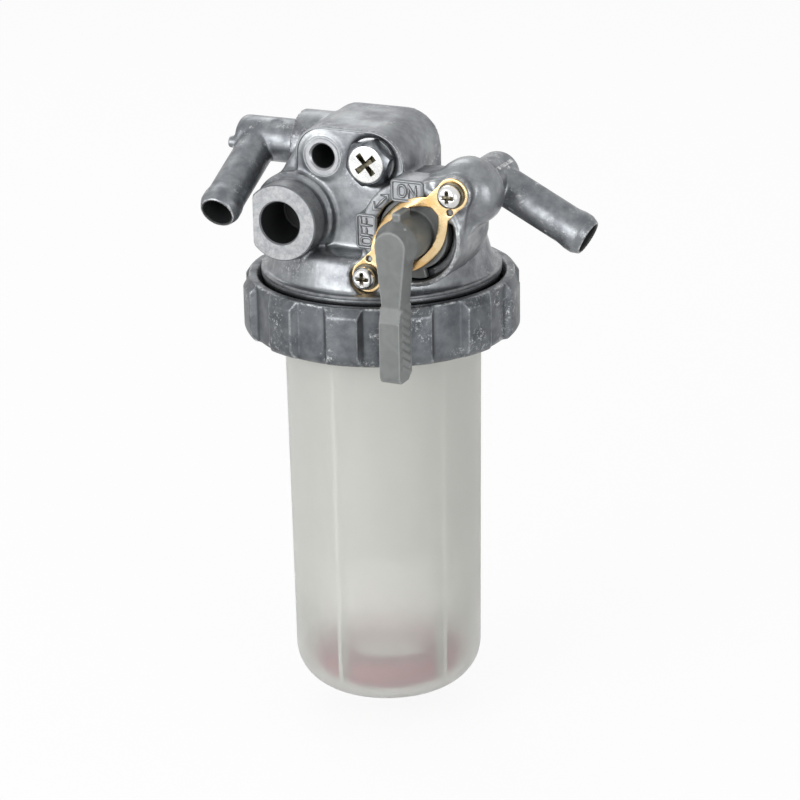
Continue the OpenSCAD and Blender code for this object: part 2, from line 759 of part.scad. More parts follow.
// Lever: flange with its fuel channel and stop tab, hub, and a flat grip that hangs down
module cock_lever() color([0.55, 0.57, 0.57]) {
    seal_groove_w = 2 * seal_cord_r + 0.2;
    seal_y = (flange_back_y + flange_front_y + stop_tab_t) / 2;
    groove_r = lever_flange_r - 2 * seal_cord_r + slide_gap - run_gap - touch_gap;
    channel_w = 2 * port_hole_r - 0.8;
    difference() {
        union() {
            rod_y(cock_x, cock_z, lever_flange_r, flange_back_y, flange_front_y);
            facing_front(cock_x, flange_front_y + stop_tab_t, cock_z) linear_extrude(stop_tab_t)
                intersection() {
                    circle(r = stop_tab_r);
                    polygon(sector(2 * stop_tab_r, -90 - stop_half, -90 + stop_half));
                }
        }
        facing_front(cock_x, seal_y + seal_groove_w / 2, cock_z)
            ring(pocket_r + 1, groove_r, seal_groove_w);
        facing_front(cock_x, flange_back_y + cut, cock_z)
            rotate([0, 0, port_out_at])
                rotate_extrude(angle = port_in_at - port_out_at)
                    translate([port_orbit_r - channel_w / 2, 0]) square([channel_w, 2 + cut]);
        for (at = [port_in_at, port_out_at])
            rod_y(cock_x + port_orbit_r * cos(at), cock_z + port_orbit_r * sin(at), port_hole_r,
                flange_back_y + cut, flange_back_y - 2);
    }
    lever_handle();
}

// Half width of the handle at its top and at its neck, in the front view
handle_top_r = 4.6;
neck_w = 5.6;
neck_at = 17;
grip_at = 21;

module lever_handle() {
    shoulder_y = arm_back_y - 2.5;
    rod_y(cock_x, cock_z, hub_r, flange_front_y + 0.5, shoulder_y);
    facing_front(cock_x, shoulder_y, cock_z)
        cylinder(r1 = hub_r, r2 = handle_top_r, h = shoulder_y - neck_front_y - 0.6, $fn = 64);
    facing_front(cock_x, arm_back_y, cock_z) {
        linear_extrude(arm_back_y - neck_front_y) handle_outline();
    }
    grip();
    nub_w = 2.4;
    nub_out = 2.3;
    translate([cock_x - nub_w / 2, shoulder_y, cock_z])
        cube([nub_w, flange_front_y - shoulder_y - 4, hub_r + nub_out]);
}

// Front view of the handle from its round top to where the grip starts
module handle_outline() {
    circle(r = handle_top_r);
    polygon([[-handle_top_r, 0], [handle_top_r, 0], [neck_w / 2, -neck_at], [neck_w / 2, -grip_at - 2],
        [-neck_w / 2, -grip_at - 2], [-neck_w / 2, -neck_at]]);
}

// Grip: side view with a sloping start, rounded toe and raised slanting serrations
module grip() {
    toe_r = 2.2;
    heel_up = 2;
    side_x = grip_w / 2;
    translate([cock_x - side_x, 0, cock_z]) rotate([90, 0, 90]) linear_extrude(grip_w)
        polygon(concat(
            [[arm_back_y, -neck_at], [neck_front_y, -neck_at], [grip_front_y, -grip_at]],
            arc(grip_front_y + toe_r, -arm_l + toe_r, toe_r, 180, 270, 6),
            [[arm_back_y - toe_r, -arm_l + 0.2], [arm_back_y, -arm_l + heel_up]]));
    serration_count = 8;
    serration_pitch = 2.3;
    serration_h = 0.35;
    serration_w = 1.1;
    for (side = [-1, 1], k = [0:serration_count - 1])
        translate([cock_x + side * (side_x - 0.2), (arm_back_y + grip_front_y) / 2,
                cock_z - grip_at + 2 - k * serration_pitch])
            rotate([-30, 0, 0])
                cube([2 * serration_h + 0.4, grip_d - 2.4, serration_w], center = true);
}

module lever_seal() color([0.07, 0.07, 0.07]) {
    seal_y = (flange_back_y + flange_front_y + stop_tab_t) / 2;
    facing_front(cock_x, seal_y, cock_z) rotate_extrude()
        translate([lever_flange_r - seal_cord_r + slide_gap - run_gap, 0])
            circle(r = seal_cord_r, $fn = 24);
}

module cock_packing() color([0.09, 0.09, 0.09]) {
    difference() {
        rod_y(cock_x, cock_z, pocket_r - run_gap, pocket_y, pocket_y - packing_t);
        for (at = [port_in_at, port_out_at])
            rod_y(cock_x + port_orbit_r * cos(at), cock_z + port_orbit_r * sin(at), port_hole_r,
                pocket_y + 1, pocket_y - packing_t - 1);
    }
}

// Section of the spring plate across its arms: flat in the middle, both sides bent into the pocket
module plate_section() {
    bend_w = plate_half - plate_flat_half;
    bend_r = (bend_w * bend_w + plate_bow * plate_bow) / (2 * plate_bow);
    bend_a = asin(bend_w / bend_r);
    low = plate_t - bend_r;
    edge = 90 - bend_a - 4;
    polygon(concat(
        arc(plate_flat_half, low, bend_r, 90, edge, 10),
        arc(plate_flat_half, low, bend_r - plate_t, edge, 90, 10),
        arc(-plate_flat_half, low, bend_r - plate_t, 90, 180 - edge, 10),
        arc(-plate_flat_half, low, bend_r, 180 - edge, 90, 10)));
}

// Front view of the spring plate, its ears along X
module plate_outline() {
    pin_hole_r = 0.95;
    difference() {
        union() {
            oval(plate_arc_r, plate_half);
            for (side = [-1, 1]) {
                translate([side * ear_at, 0]) circle(r = ear_r);
                translate([side * (ear_at - plate_neck_l / 2), 0])
                    square([plate_neck_l, 2 * plate_neck_half], center = true);
            }
        }
        intersection() {
            circle(r = plate_hole_r);
            oval(plate_hole_arc_r, plate_hole_half);
        }
        for (side = [-1, 1]) {
            translate([side * ear_at, 0]) circle(r = screw_r + 0.2);
            translate([side * (ear_at - 4.1), -side * 3.1]) circle(r = pin_hole_r, $fn = 24);
        }
    }
}

module spring_plate() color([0.86, 0.7, 0.45]) {
    plate_len = 2 * (ear_at + ear_r) + 2;
    facing_front(cock_x, seat_y, cock_z) rotate([0, 0, ear_dir]) intersection() {
        translate([0, 0, -plate_bow - 2]) linear_extrude(plate_bow + plate_t + 3) plate_outline();
        translate([-plate_len / 2, 0, 0]) rotate([90, 0, 90]) linear_extrude(plate_len) plate_section();
    }
}

module at_plate_screws() {
    for (side = [-1, 1])
        facing_front(cock_x + side * ear_at * cos(ear_dir), seat_y - plate_t,
            cock_z + side * ear_at * sin(ear_dir)) children();
}

// Cross recess: two tapering slots
module cross_recess(width, slot, depth) {
    for (turn = [0, 90]) rotate([0, 0, turn]) rotate([90, 0, 0])
        translate([0, 0, -slot / 2]) linear_extrude(slot)
            polygon([[-width / 2, 0.01], [width / 2, 0.01], [slot / 3, -depth], [-slot / 3, -depth]]);
}

module plate_screws() color([0.78, 0.78, 0.76]) {
    crown_r = 1.6;
    at_plate_screws() difference() {
        union() {
            translate([0, 0, spring_washer_t]) rotate_extrude() polygon(concat(
                [[0, 0], [screw_head_r, 0]],
                arc(screw_head_r - crown_r, screw_head_h - crown_r, crown_r, 0, 80, 8),
                [[0, screw_head_h]]));
            translate([0, 0, spring_washer_t - screw_l]) cylinder(r = screw_r, h = screw_l + 0.5);
        }
        translate([0, 0, spring_washer_t + screw_head_h])
            cross_recess(2 * screw_head_r * 0.7, 1, 1.7);
    }
}

module plate_washers() color([0.3, 0.28, 0.22]) {
    washer_r = screw_head_r + 0.5;
    at_plate_screws() ring(washer_r, screw_r + 0.15, spring_washer_t);
}

// Bleed screw: hex head with a turned face and a cross recess
module bleed_screw() color([0.75, 0.76, 0.77]) {
    head_face_r = bleed_af / 2 - 0.3;
    facing_front(port_x, bleed_seat_y - bleed_washer_t, port_z) difference() {
        union() {
            intersection() {
                rotate([0, 0, 14]) cylinder(r = bleed_af / 2 / cos(30), h = bleed_head_h, $fn = 6);
                rotate_extrude() polygon([[0, 0], [bleed_af, 0], [bleed_af, 1],
                    [head_face_r + 1.6, bleed_head_h - 1.5], [head_face_r, bleed_head_h],
                    [0, bleed_head_h]]);
            }
            translate([0, 0, -bleed_l - bleed_washer_t])
                cylinder(r = bleed_r, h = bleed_l + bleed_washer_t + 0.5);
        }
        translate([0, 0, bleed_head_h]) rotate([0, 0, 40]) cross_recess(7.6, 1.8, 2.6);
    }
}

module bleed_washer() color([0.72, 0.5, 0.35]) {
    facing_front(port_x, bleed_seat_y, port_z)
        ring(bleed_af / 2 + 0.6, bleed_r + run_gap, bleed_washer_t);
}

// Element

module element_top_cap() color([0.9, 0.9, 0.86]) {
    collar_r = grommet_r + 1.2;
    difference() {
        union() {
            translate([0, 0, element_top_z - cap_t]) cylinder(r = element_r, h = cap_t);
            translate([0, 0, element_top_z - grommet_h]) cylinder(r = collar_r, h = grommet_h);
        }
        translate([0, 0, element_top_z - grommet_h - 1]) cylinder(r = grommet_r, h = grommet_h + 2);
    }
}

module element_grommet() color([0.12, 0.12, 0.12]) {
    translate([0, 0, element_top_z - grommet_h]) ring(grommet_r, stem_r + touch_gap, grommet_h);
}

module element_bottom_cap() color([0.9, 0.9, 0.86]) {
    translate([0, 0, element_bottom_z]) cylinder(r = element_r, h = cap_t);
}

// Pleated paper: a zigzag wall between the centre tube and the caps' edge
module element_media() color([0.93, 0.92, 0.87]) {
    paper_t = 0.35;
    inner_r = core_r + 0.4;
    outer_r = element_r - 0.6;
    half = 180 / pleat_count;
    fold_out = [for (k = [0:2 * pleat_count - 1]) k % 2 == 0 ? outer_r : inner_r + paper_t];
    fold_in = [for (k = [0:2 * pleat_count - 1]) k % 2 == 0 ? outer_r - paper_t * 4 : inner_r];
    translate([0, 0, element_bottom_z + cap_t]) linear_extrude(element_l - 2 * cap_t)
        difference() {
            polygon([for (k = [0:2 * pleat_count - 1]) fold_out[k] * [cos(k * half), sin(k * half)]]);
            polygon([for (k = [0:2 * pleat_count - 1]) fold_in[k] * [cos(k * half), sin(k * half)]]);
        }
}

// Centre tube with rows of holes
module element_core() color([0.85, 0.85, 0.82]) {
    core_l = element_l - cap_t - grommet_h;
    hole_r = 2.2;
    rows = 6;
    per_row = 3;
    translate([0, 0, element_bottom_z + cap_t]) difference() {
        ring(core_r, core_r - 1, core_l);
        for (row = [0:rows - 1], k = [0:per_row - 1])
            translate([0, 0, (row + 0.7) * core_l / (rows + 0.4)])
                rotate([90, 0, k * 180 / per_row + row * 30])
                    cylinder(r = hole_r, h = 2 * core_r + 4, center = true, $fn = 24);
    }
}

head();
inlet_elbow();
outlet_elbow();
ring_nut();
bowl();
bowl_seal();
float_ring();
element_top_cap();
element_bottom_cap();
element_media();
element_core();
element_grommet();
cock_lever();
lever_seal();
cock_packing();
spring_plate();
plate_screws();
plate_washers();
bleed_screw();
bleed_washer();
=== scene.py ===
"""Water separator for a fuel line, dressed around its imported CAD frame.

The castings and mouldings are the CAD solids rebuilt as an even skin and relaxed, so that every edge gets
the small radius of a die or a mould. The bowl, the machined faces, the spring washers and the raised labels
are surfaces of their own. Lengths are in millimetres until they reach a mesh.
"""

import json
import math

import bmesh
import bpy
import numpy as np
from mathutils import Matrix, Vector


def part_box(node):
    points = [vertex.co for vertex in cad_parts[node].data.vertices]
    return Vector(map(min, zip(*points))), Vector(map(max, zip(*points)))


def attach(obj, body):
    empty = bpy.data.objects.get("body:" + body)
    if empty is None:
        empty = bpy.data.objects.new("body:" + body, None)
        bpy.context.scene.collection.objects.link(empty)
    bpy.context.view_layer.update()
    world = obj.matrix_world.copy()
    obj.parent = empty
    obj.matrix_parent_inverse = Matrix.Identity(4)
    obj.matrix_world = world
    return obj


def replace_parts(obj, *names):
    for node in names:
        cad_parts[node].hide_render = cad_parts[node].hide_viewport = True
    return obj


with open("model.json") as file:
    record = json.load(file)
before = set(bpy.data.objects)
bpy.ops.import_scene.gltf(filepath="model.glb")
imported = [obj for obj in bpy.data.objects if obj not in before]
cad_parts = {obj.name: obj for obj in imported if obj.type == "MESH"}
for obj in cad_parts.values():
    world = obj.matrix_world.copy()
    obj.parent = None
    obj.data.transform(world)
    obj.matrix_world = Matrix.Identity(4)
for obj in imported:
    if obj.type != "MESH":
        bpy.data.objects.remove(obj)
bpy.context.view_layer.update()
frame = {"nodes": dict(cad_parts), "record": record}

MM = 0.001
TAU = 2 * math.pi

MOUNTS = {m["name"]: m for m in frame["record"]["mounts"]}
JOINTS = {j["name"]: j for j in frame["record"]["behaviour"]["joints"]}


def mm(point):
    """A point in metres as millimetres."""
    return np.array(point, dtype=float) / MM


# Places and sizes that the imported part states

SPOT_DEPTH = 1.0
PLATE_T = 0.8
COCK = mm(JOINTS["cock_turn"]["pos_m"])
BLEED = mm(JOINTS["bleed_turn"]["pos_m"])
LARGE_PORT = mm(MOUNTS["large_port"]["pos_m"])
SMALL_PORT = mm(MOUNTS["small_port"]["pos_m"])
LARGE_PORT_R = MOUNTS["large_port"]["dims"]["r_mm"]
SMALL_PORT_R = MOUNTS["small_port"]["dims"]["r_mm"]
LARGE_FACE_Y = LARGE_PORT[1] - MOUNTS["large_port"]["dims"]["length_mm"] / 2
BLEED_WASHER_FRONT_Y, SPOT_Y = (mm(corner)[1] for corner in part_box("bleed_washer"))
FRONT_Y = SPOT_Y - SPOT_DEPTH
WASHERS_LOW, WASHERS_HIGH = (mm(corner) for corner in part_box("plate_washers"))
PLATE_FRONT_Y = WASHERS_HIGH[1]
SEAT_Y = PLATE_FRONT_Y + PLATE_T
FLANGE_R, _, BOWL_H = mm(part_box("bowl")[1])


# Mesh helpers

WELD = 0.002 * MM
SLIVER = 0.001 * MM


def linked(name, mesh):
    """A new object with this mesh, lens or lamp, at the origin."""
    obj = bpy.data.objects.new(name, mesh)
    bpy.context.scene.collection.objects.link(obj)
    return obj


def finish_mesh(name, verts, faces, weld=False):
    """A smooth mesh from points in millimetres, with its faces turned outwards. With weld, points that fall
    together become one, as those on a lathe's axis do."""
    mesh = bpy.data.meshes.new(name)
    mesh.from_pydata((np.asarray(verts) * MM).tolist(), [], faces)
    solid = bmesh.new()
    solid.from_mesh(mesh)
    if weld:
        bmesh.ops.remove_doubles(solid, verts=solid.verts, dist=WELD)
        bmesh.ops.dissolve_degenerate(solid, edges=solid.edges, dist=SLIVER)
    bmesh.ops.recalc_face_normals(solid, faces=solid.faces)
    solid.to_mesh(mesh)
    solid.free()
    mesh.shade_smooth()
    return linked(name, mesh)


def crisp(obj, degrees=30):
    """Edges that turn by more than this stay sharp."""
    obj.data.set_sharp_from_angle(angle=math.radians(degrees))
    return obj


def tube_faces(rings, count, start=0, joined=False):
    """Quads between neighbouring rings of count points each. The last ring is joined to the first, or each
    end gets a face of its own."""
    ring, point = np.meshgrid(np.arange(rings if joined else rings - 1), np.arange(count), indexing="ij")
    ring2, point2 = (ring + 1) % rings * count, (point + 1) % count
    ring = ring * count
    quads = np.stack([ring + point, ring + point2, ring2 + point2, ring2 + point], axis=-1)
    faces = (quads.reshape(-1, 4) + start).tolist()
    if not joined:
        last = start + (rings - 1) * count
        faces += [list(range(start, start + count)), list(range(last, last + count))]
    return faces


def lathe(name, profile, steps, front_from=None):
    """Each profile point (radius, height) turned round the bowl's axis: x = radius cos t, y = radius sin t,
    z = height. With front_from, the axis runs from that point towards -Y, as on the front's ports."""
    radius, height = np.array(profile, dtype=float).T
    t = np.linspace(0, TAU, steps, endpoint=False)[:, None]
    across, up, along = radius * np.cos(t), radius * np.sin(t), height + 0 * t
    if front_from is None:
        points = np.stack([across, up, along], axis=-1)
    else:
        points = np.stack([across, -along, up], axis=-1) + np.array(front_from, dtype=float)
    return finish_mesh(name, points.reshape(-1, 3), tube_faces(steps, len(radius), joined=True), weld=True)


def arc(cx, cy, r, start, end, steps):
    """Points (cx + r cos a, cy + r sin a), with a from one angle to another in degrees."""
    a = np.radians(np.linspace(start, end, steps))
    return [(cx + r * math.cos(k), cy + r * math.sin(k)) for k in a]


def recast(name, node, body, skin, passes, flatten=None):
    """The node's own solid, merged, rebuilt as squares of one size and relaxed a few times, so that its
    edges and inner corners get a radius of about one to two squares."""
    mesh = frame["nodes"][node].data.copy()
    solid = bmesh.new()
    solid.from_mesh(mesh)
    bmesh.ops.remove_doubles(solid, verts=solid.verts, dist=SLIVER)
    solid.to_mesh(mesh)
    solid.free()
    if flatten:
        flatten(mesh)
    mesh.materials.clear()
    rough = linked(name + "_rough", mesh)
    cells = rough.modifiers.new("cells", "REMESH")
    cells.mode = "VOXEL"
    cells.voxel_size = skin * MM
    relax = rough.modifiers.new("relax", "SMOOTH")
    relax.factor = 0.5
    relax.iterations = passes
    bpy.context.view_layer.update()
    live = rough.evaluated_get(bpy.context.evaluated_depsgraph_get())
    done = bpy.data.meshes.new_from_object(live)
    bpy.data.objects.remove(rough)
    done.name = name
    done.shade_smooth()
    obj = linked(name, done)
    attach(obj, body)
    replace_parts(obj, node)
    return obj


END_SQUEEZE = 0.55
END_REACH = 0.35


def beads(name, paths, width, height):
    """Half-round ridges on planes that face -Y. Each path is its (x, z) points, whether it is closed, and
    its plane's y: the section is an arch of that width and height, carried along the path on mitred joins
    and squeezed at open ends."""
    arch = np.radians(np.linspace(-20, 200, 9))
    side = width / 2 * np.cos(arch)
    lift = height * np.sin(arch)
    verts, faces, start = [], [], 0
    for points, closed, base_y in paths:
        p = np.array(points, dtype=float)
        ahead = np.roll(p, -1, axis=0) - p
        back = p - np.roll(p, 1, axis=0)
        if not closed:
            ahead[-1] = back[-1]
            back[0] = ahead[0]
        ahead = ahead / np.linalg.norm(ahead, axis=1)[:, None]
        back = back / np.linalg.norm(back, axis=1)[:, None]
        run = ahead + back
        run /= np.linalg.norm(run, axis=1)[:, None]
        normal = np.stack([-run[:, 1], run[:, 0]], axis=1)
        miter = 1 / np.clip(np.sum(run * ahead, axis=1), 0.5, 1)
        squeeze = np.ones(len(p))
        if not closed:
            squeeze[[0, -1]] = END_SQUEEZE
            p[0] -= ahead[0] * width * END_REACH
            p[-1] += back[-1] * width * END_REACH
        x = p[:, 0, None] + normal[:, 0, None] * side * (miter * squeeze)[:, None]
        z = p[:, 1, None] + normal[:, 1, None] * side * (miter * squeeze)[:, None]
        y = base_y - lift * squeeze[:, None]
        verts.append(np.stack([x, y, z], axis=-1).reshape(-1, 3))
        faces += tube_faces(len(p), len(side), start, joined=closed)
        start += len(p) * len(side)
    return finish_mesh(name, np.concatenate(verts), faces)


# Material helpers


def tint(code):
    """A sRGB hex colour as linear red, green, blue and alpha 1."""
    values = [int(code[i : i + 2], 16) / 255 for i in (1, 3, 5)]
    return tuple(v / 12.92 if v <= 0.04045 else ((v + 0.055) / 1.055) ** 2.4 for v in values) + (1.0,)


def add(tree, kind, inputs=None, **settings):
    """Adds one node. The settings are its own; an input is a value, or the socket that feeds it."""
    made = tree.nodes.new(kind)
    for key, value in settings.items():
        setattr(made, key, value)
    for key, value in (inputs or {}).items():
        if isinstance(value, bpy.types.NodeSocket):
            tree.links.new(value, made.inputs[key])
        else:
            made.inputs[key].default_value = value
    return made


def blank(name):
    """A material with an empty node tree, and its object coordinates."""
    material = bpy.data.materials.new(name)
    material.use_nodes = True
    tree = material.node_tree
    tree.nodes.clear()
    coords = add(tree, "ShaderNodeTexCoord")
    return material, tree, coords.outputs["Object"]


def per_metre(size):
    """Noise scale for features of this size in millimetres."""
    return 1000 / size


def wear(obj, material):
    """The piece gets this material and no other."""
    obj.data.materials.clear()
    obj.data.materials.append(material)
    return obj


def stain(obj, material, where):
    """The faces whose middles, in millimetres, pass the test get this material instead of their own."""
    mesh = obj.data
    middle = np.empty(len(mesh.polygons) * 3)
    mesh.polygons.foreach_get("center", middle)
    x, y, z = (middle.reshape(-1, 3) / MM).T
    index = np.zeros(len(mesh.polygons), dtype=np.int32)
    mesh.polygons.foreach_get("material_index", index)
    index[where(x, y, z)] = len(mesh.materials)
    mesh.materials.append(material)
    mesh.polygons.foreach_set("material_index", index)
    mesh.update()


# Materials

# Painted shade and dirt: cast corners and the gaps beside other parts darken towards this colour
CORNER_SHADE_AND_DIRT = "#35373a"
CORNER_SHADE_REACH = 1.8
# Sizes of what breaks up a rubbed edge and a scuff
RUB_GRIT = 1.6
SCUFF_GRIT = 1.1


def cast_alloy(name, body_tone, dark_tone, worn_tone, roughness, bare, grain=0.7, blotch=9.0):
    """Die-cast aluminium: a mottled grey skin with a fine grain, darkened in its corners and beside other
    parts by painted shade and dirt, with this share of its edges rubbed bare and bright in scuffs. Grain and
    blotch are sizes in millimetres."""
    material, tree, place = blank(name)
    cloud = add(
        tree,
        "ShaderNodeTexNoise",
        {"Vector": place, "Scale": per_metre(blotch), "Detail": 5.0, "Roughness": 0.6},
    )
    cloud_ramp = add(
        tree, "ShaderNodeMapRange", {"Value": cloud.outputs["Fac"], "From Min": 0.35, "From Max": 0.68}
    )
    skin = add(
        tree,
        "ShaderNodeMix",
        {"Factor": cloud_ramp.outputs["Result"], 6: tint(dark_tone), 7: tint(body_tone)},
        data_type="RGBA",
    )
    shape = add(tree, "ShaderNodeNewGeometry")
    rub = add(
        tree,
        "ShaderNodeMapRange",
        {"Value": shape.outputs["Pointiness"], "From Min": 0.515, "From Max": 0.56, "To Max": bare},
    )
    speck = add(
        tree,
        "ShaderNodeTexNoise",
        {"Vector": place, "Scale": per_metre(RUB_GRIT), "Detail": 6.0, "Roughness": 0.75},
    )
    speck_ramp = add(
        tree, "ShaderNodeMapRange", {"Value": speck.outputs["Fac"], "From Min": 0.42, "From Max": 0.6}
    )
    rubbed = add(
        tree,
        "ShaderNodeMath",
        {0: rub.outputs["Result"], 1: speck_ramp.outputs["Result"]},
        operation="MULTIPLY",
    )
    scuff = add(
        tree,
        "ShaderNodeTexNoise",
        {"Vector": place, "Scale": per_metre(SCUFF_GRIT), "Detail": 7.0, "Roughness": 0.8},
    )
    scuff_ramp = add(
        tree,
        "ShaderNodeMapRange",
        {"Value": scuff.outputs["Fac"], "From Min": 0.53, "From Max": 0.66, "To Max": bare},
    )
    patch = add(
        tree, "ShaderNodeTexNoise", {"Vector": place, "Scale": per_metre(blotch * 1.4), "Detail": 2.0}
    )
    patch_ramp = add(
        tree, "ShaderNodeMapRange", {"Value": patch.outputs["Fac"], "From Min": 0.5, "From Max": 0.66}
    )
    scuffed = add(
        tree,
        "ShaderNodeMath",
        {0: scuff_ramp.outputs["Result"], 1: patch_ramp.outputs["Result"]},
        operation="MULTIPLY",
    )
    bright = add(
        tree,
        "ShaderNodeMath",
        {0: rubbed.outputs[0], 1: scuffed.outputs[0]},
        operation="ADD",
        use_clamp=True,
    )
    tone = add(
        tree,
        "ShaderNodeMix",
        {"Factor": bright.outputs[0], 6: skin.outputs[2], 7: tint(worn_tone)},
        data_type="RGBA",
    )
    # Painted shade: ambient occlusion darkens corners and the gaps beside other parts, mixed in as dirt
    corner = add(tree, "ShaderNodeAmbientOcclusion", {"Distance": CORNER_SHADE_REACH * MM}, samples=8)
    unshaded = add(
        tree, "ShaderNodeMapRange", {"Value": corner.outputs["AO"], "From Min": 0.22, "From Max": 0.7}
    )
    corner_shaded = add(
        tree,
        "ShaderNodeMix",
        {"Factor": unshaded.outputs["Result"], 6: tint(CORNER_SHADE_AND_DIRT), 7: tone.outputs[2]},
        data_type="RGBA",
    )
    sheen = add(
        tree,
        "ShaderNodeMapRange",
        {
            "Value": cloud.outputs["Fac"],
            "From Min": 0.3,
            "From Max": 0.7,
            "To Min": roughness + 0.08,
            "To Max": roughness - 0.06,
        },
    )
    fine = add(
        tree,
        "ShaderNodeTexNoise",
        {"Vector": place, "Scale": per_metre(grain), "Detail": 3.0, "Roughness": 0.7},
    )
    dents = add(tree, "ShaderNodeTexNoise", {"Vector": place, "Scale": per_metre(grain * 6), "Detail": 2.0})
    relief = add(
        tree, "ShaderNodeBump", {"Height": fine.outputs["Fac"], "Strength": 0.35, "Distance": 0.12 * MM}
    )
    waves = add(
        tree,
        "ShaderNodeBump",
        {
            "Height": dents.outputs["Fac"],
            "Strength": 0.3,
            "Distance": 0.35 * MM,
            "Normal": relief.outputs["Normal"],
        },
    )
    shader = add(
        tree,
        "ShaderNodeBsdfPrincipled",
        {
            "Base Color": corner_shaded.outputs[2],
            "Metallic": 0.88,
            "Roughness": sheen.outputs["Result"],
            "Normal": waves.outputs["Normal"],
        },
    )
    add(tree, "ShaderNodeOutputMaterial", {"Surface": shader.outputs["BSDF"]})
    return material


# Width of one turned ring, drawn coarser than a real cut so that it shows
TOOL_FEED = 0.35
# A wave texture multiplies its scale by this
WAVE_FACTOR = 20


def turned_alloy(name, tone, centre):
    """Machined aluminium: bright, with fine rings round the tool's axis that stretch its highlights."""
    material, tree, place = blank(name)
    local = add(
        tree, "ShaderNodeMapping", {"Vector": place, "Location": (-centre[0] * MM, 0, -centre[2] * MM)}
    )
    rings = add(
        tree,
        "ShaderNodeTexWave",
        {
            "Vector": local.outputs["Vector"],
            "Scale": per_metre(TOOL_FEED) / WAVE_FACTOR,
            "Distortion": 1.2,
            "Detail": 3.0,
            "Detail Scale": 3.0,
        },
        wave_type="RINGS",
        rings_direction="Y",
    )
    cloud = add(
        tree,
        "ShaderNodeTexNoise",
        {"Vector": place, "Scale": per_metre(RUB_GRIT), "Detail": 6.0, "Roughness": 0.7},
    )
    rubbed = add(
        tree, "ShaderNodeMapRange", {"Value": cloud.outputs["Fac"], "From Min": 0.36, "From Max": 0.66}
    )
    mix = add(
        tree,
        "ShaderNodeMix",
        {"Factor": rubbed.outputs["Result"], 6: tint(tone), 7: tint("#a3a4a5")},
        data_type="RGBA",
    )
    relief = add(
        tree, "ShaderNodeBump", {"Height": rings.outputs["Fac"], "Strength": 0.15, "Distance": 0.01 * MM}
    )
    shader = add(
        tree,
        "ShaderNodeBsdfPrincipled",
        {
            "Base Color": mix.outputs[2],
            "Metallic": 0.8,
            "Roughness": 0.38,
            "Normal": relief.outputs["Normal"],
        },
    )
    add(tree, "ShaderNodeOutputMaterial", {"Surface": shader.outputs["BSDF"]})
    return material


def plated_steel(name, tone, second_tone, roughness, size=6.0):
    """Plated metal: smooth, finely pitted, with a film that drifts between two tones over this many
    millimetres."""
    material, tree, place = blank(name)
    drift = add(
        tree,
        "ShaderNodeTexNoise",
        {"Vector": place, "Scale": per_metre(size), "Detail": 3.0, "Distortion": 0.6},
    )
    film = add(
        tree, "ShaderNodeMapRange", {"Value": drift.outputs["Fac"], "From Min": 0.38, "From Max": 0.64}
    )
    mix = add(
        tree,
        "ShaderNodeMix",
        {"Factor": film.outputs["Result"], 6: tint(tone), 7: tint(second_tone)},
        data_type="RGBA",
    )
    pits = add(tree, "ShaderNodeTexNoise", {"Vector": place, "Scale": per_metre(0.5), "Detail": 2.0})
    relief = add(
        tree, "ShaderNodeBump", {"Height": pits.outputs["Fac"], "Strength": 0.25, "Distance": 0.04 * MM}
    )
    shader = add(
        tree,
        "ShaderNodeBsdfPrincipled",
        {
            "Base Color": mix.outputs[2],
            "Metallic": 1.0,
            "Roughness": roughness,
            "Normal": relief.outputs["Normal"],
        },
    )
    add(tree, "ShaderNodeOutputMaterial", {"Surface": shader.outputs["BSDF"]})
    return material


def moulded_plastic(
    name, tone, second_tone, roughness, grain=0.6, relief_strength=0.25, soft=0.0, cloud=8.0, edge_tone=None
):
    """Moulded plastic: nearly even colour with faint flow clouds and the fine spark grain of its mould. An
    edge tone pales the edges that hands rub."""
    material, tree, place = blank(name)
    flow = add(
        tree,
        "ShaderNodeTexNoise",
        {"Vector": place, "Scale": per_metre(cloud), "Detail": 5.0, "Distortion": 0.8},
    )
    mix = add(
        tree,
        "ShaderNodeMix",
        {"Factor": flow.outputs["Fac"], 6: tint(tone), 7: tint(second_tone)},
        data_type="RGBA",
    )
    if edge_tone:
        shape = add(tree, "ShaderNodeNewGeometry")
        rub = add(
            tree,
            "ShaderNodeMapRange",
            {"Value": shape.outputs["Pointiness"], "From Min": 0.51, "From Max": 0.56, "To Max": 0.8},
        )
        mix = add(
            tree,
            "ShaderNodeMix",
            {"Factor": rub.outputs["Result"], 6: mix.outputs[2], 7: tint(edge_tone)},
            data_type="RGBA",
        )
    pits = add(tree, "ShaderNodeTexNoise", {"Vector": place, "Scale": per_metre(grain), "Detail": 3.0})
    relief = add(
        tree,
        "ShaderNodeBump",
        {"Height": pits.outputs["Fac"], "Strength": relief_strength, "Distance": 0.06 * MM},
    )
    shader = add(
        tree,
        "ShaderNodeBsdfPrincipled",
        {
            "Base Color": mix.outputs[2],
            "Roughness": roughness,
            "IOR": 1.5,
            "Subsurface Weight": soft,
            "Subsurface Scale": 1.0 * MM,
            "Normal": relief.outputs["Normal"],
        },
    )
    add(tree, "ShaderNodeOutputMaterial", {"Surface": shader.outputs["BSDF"]})
    return material


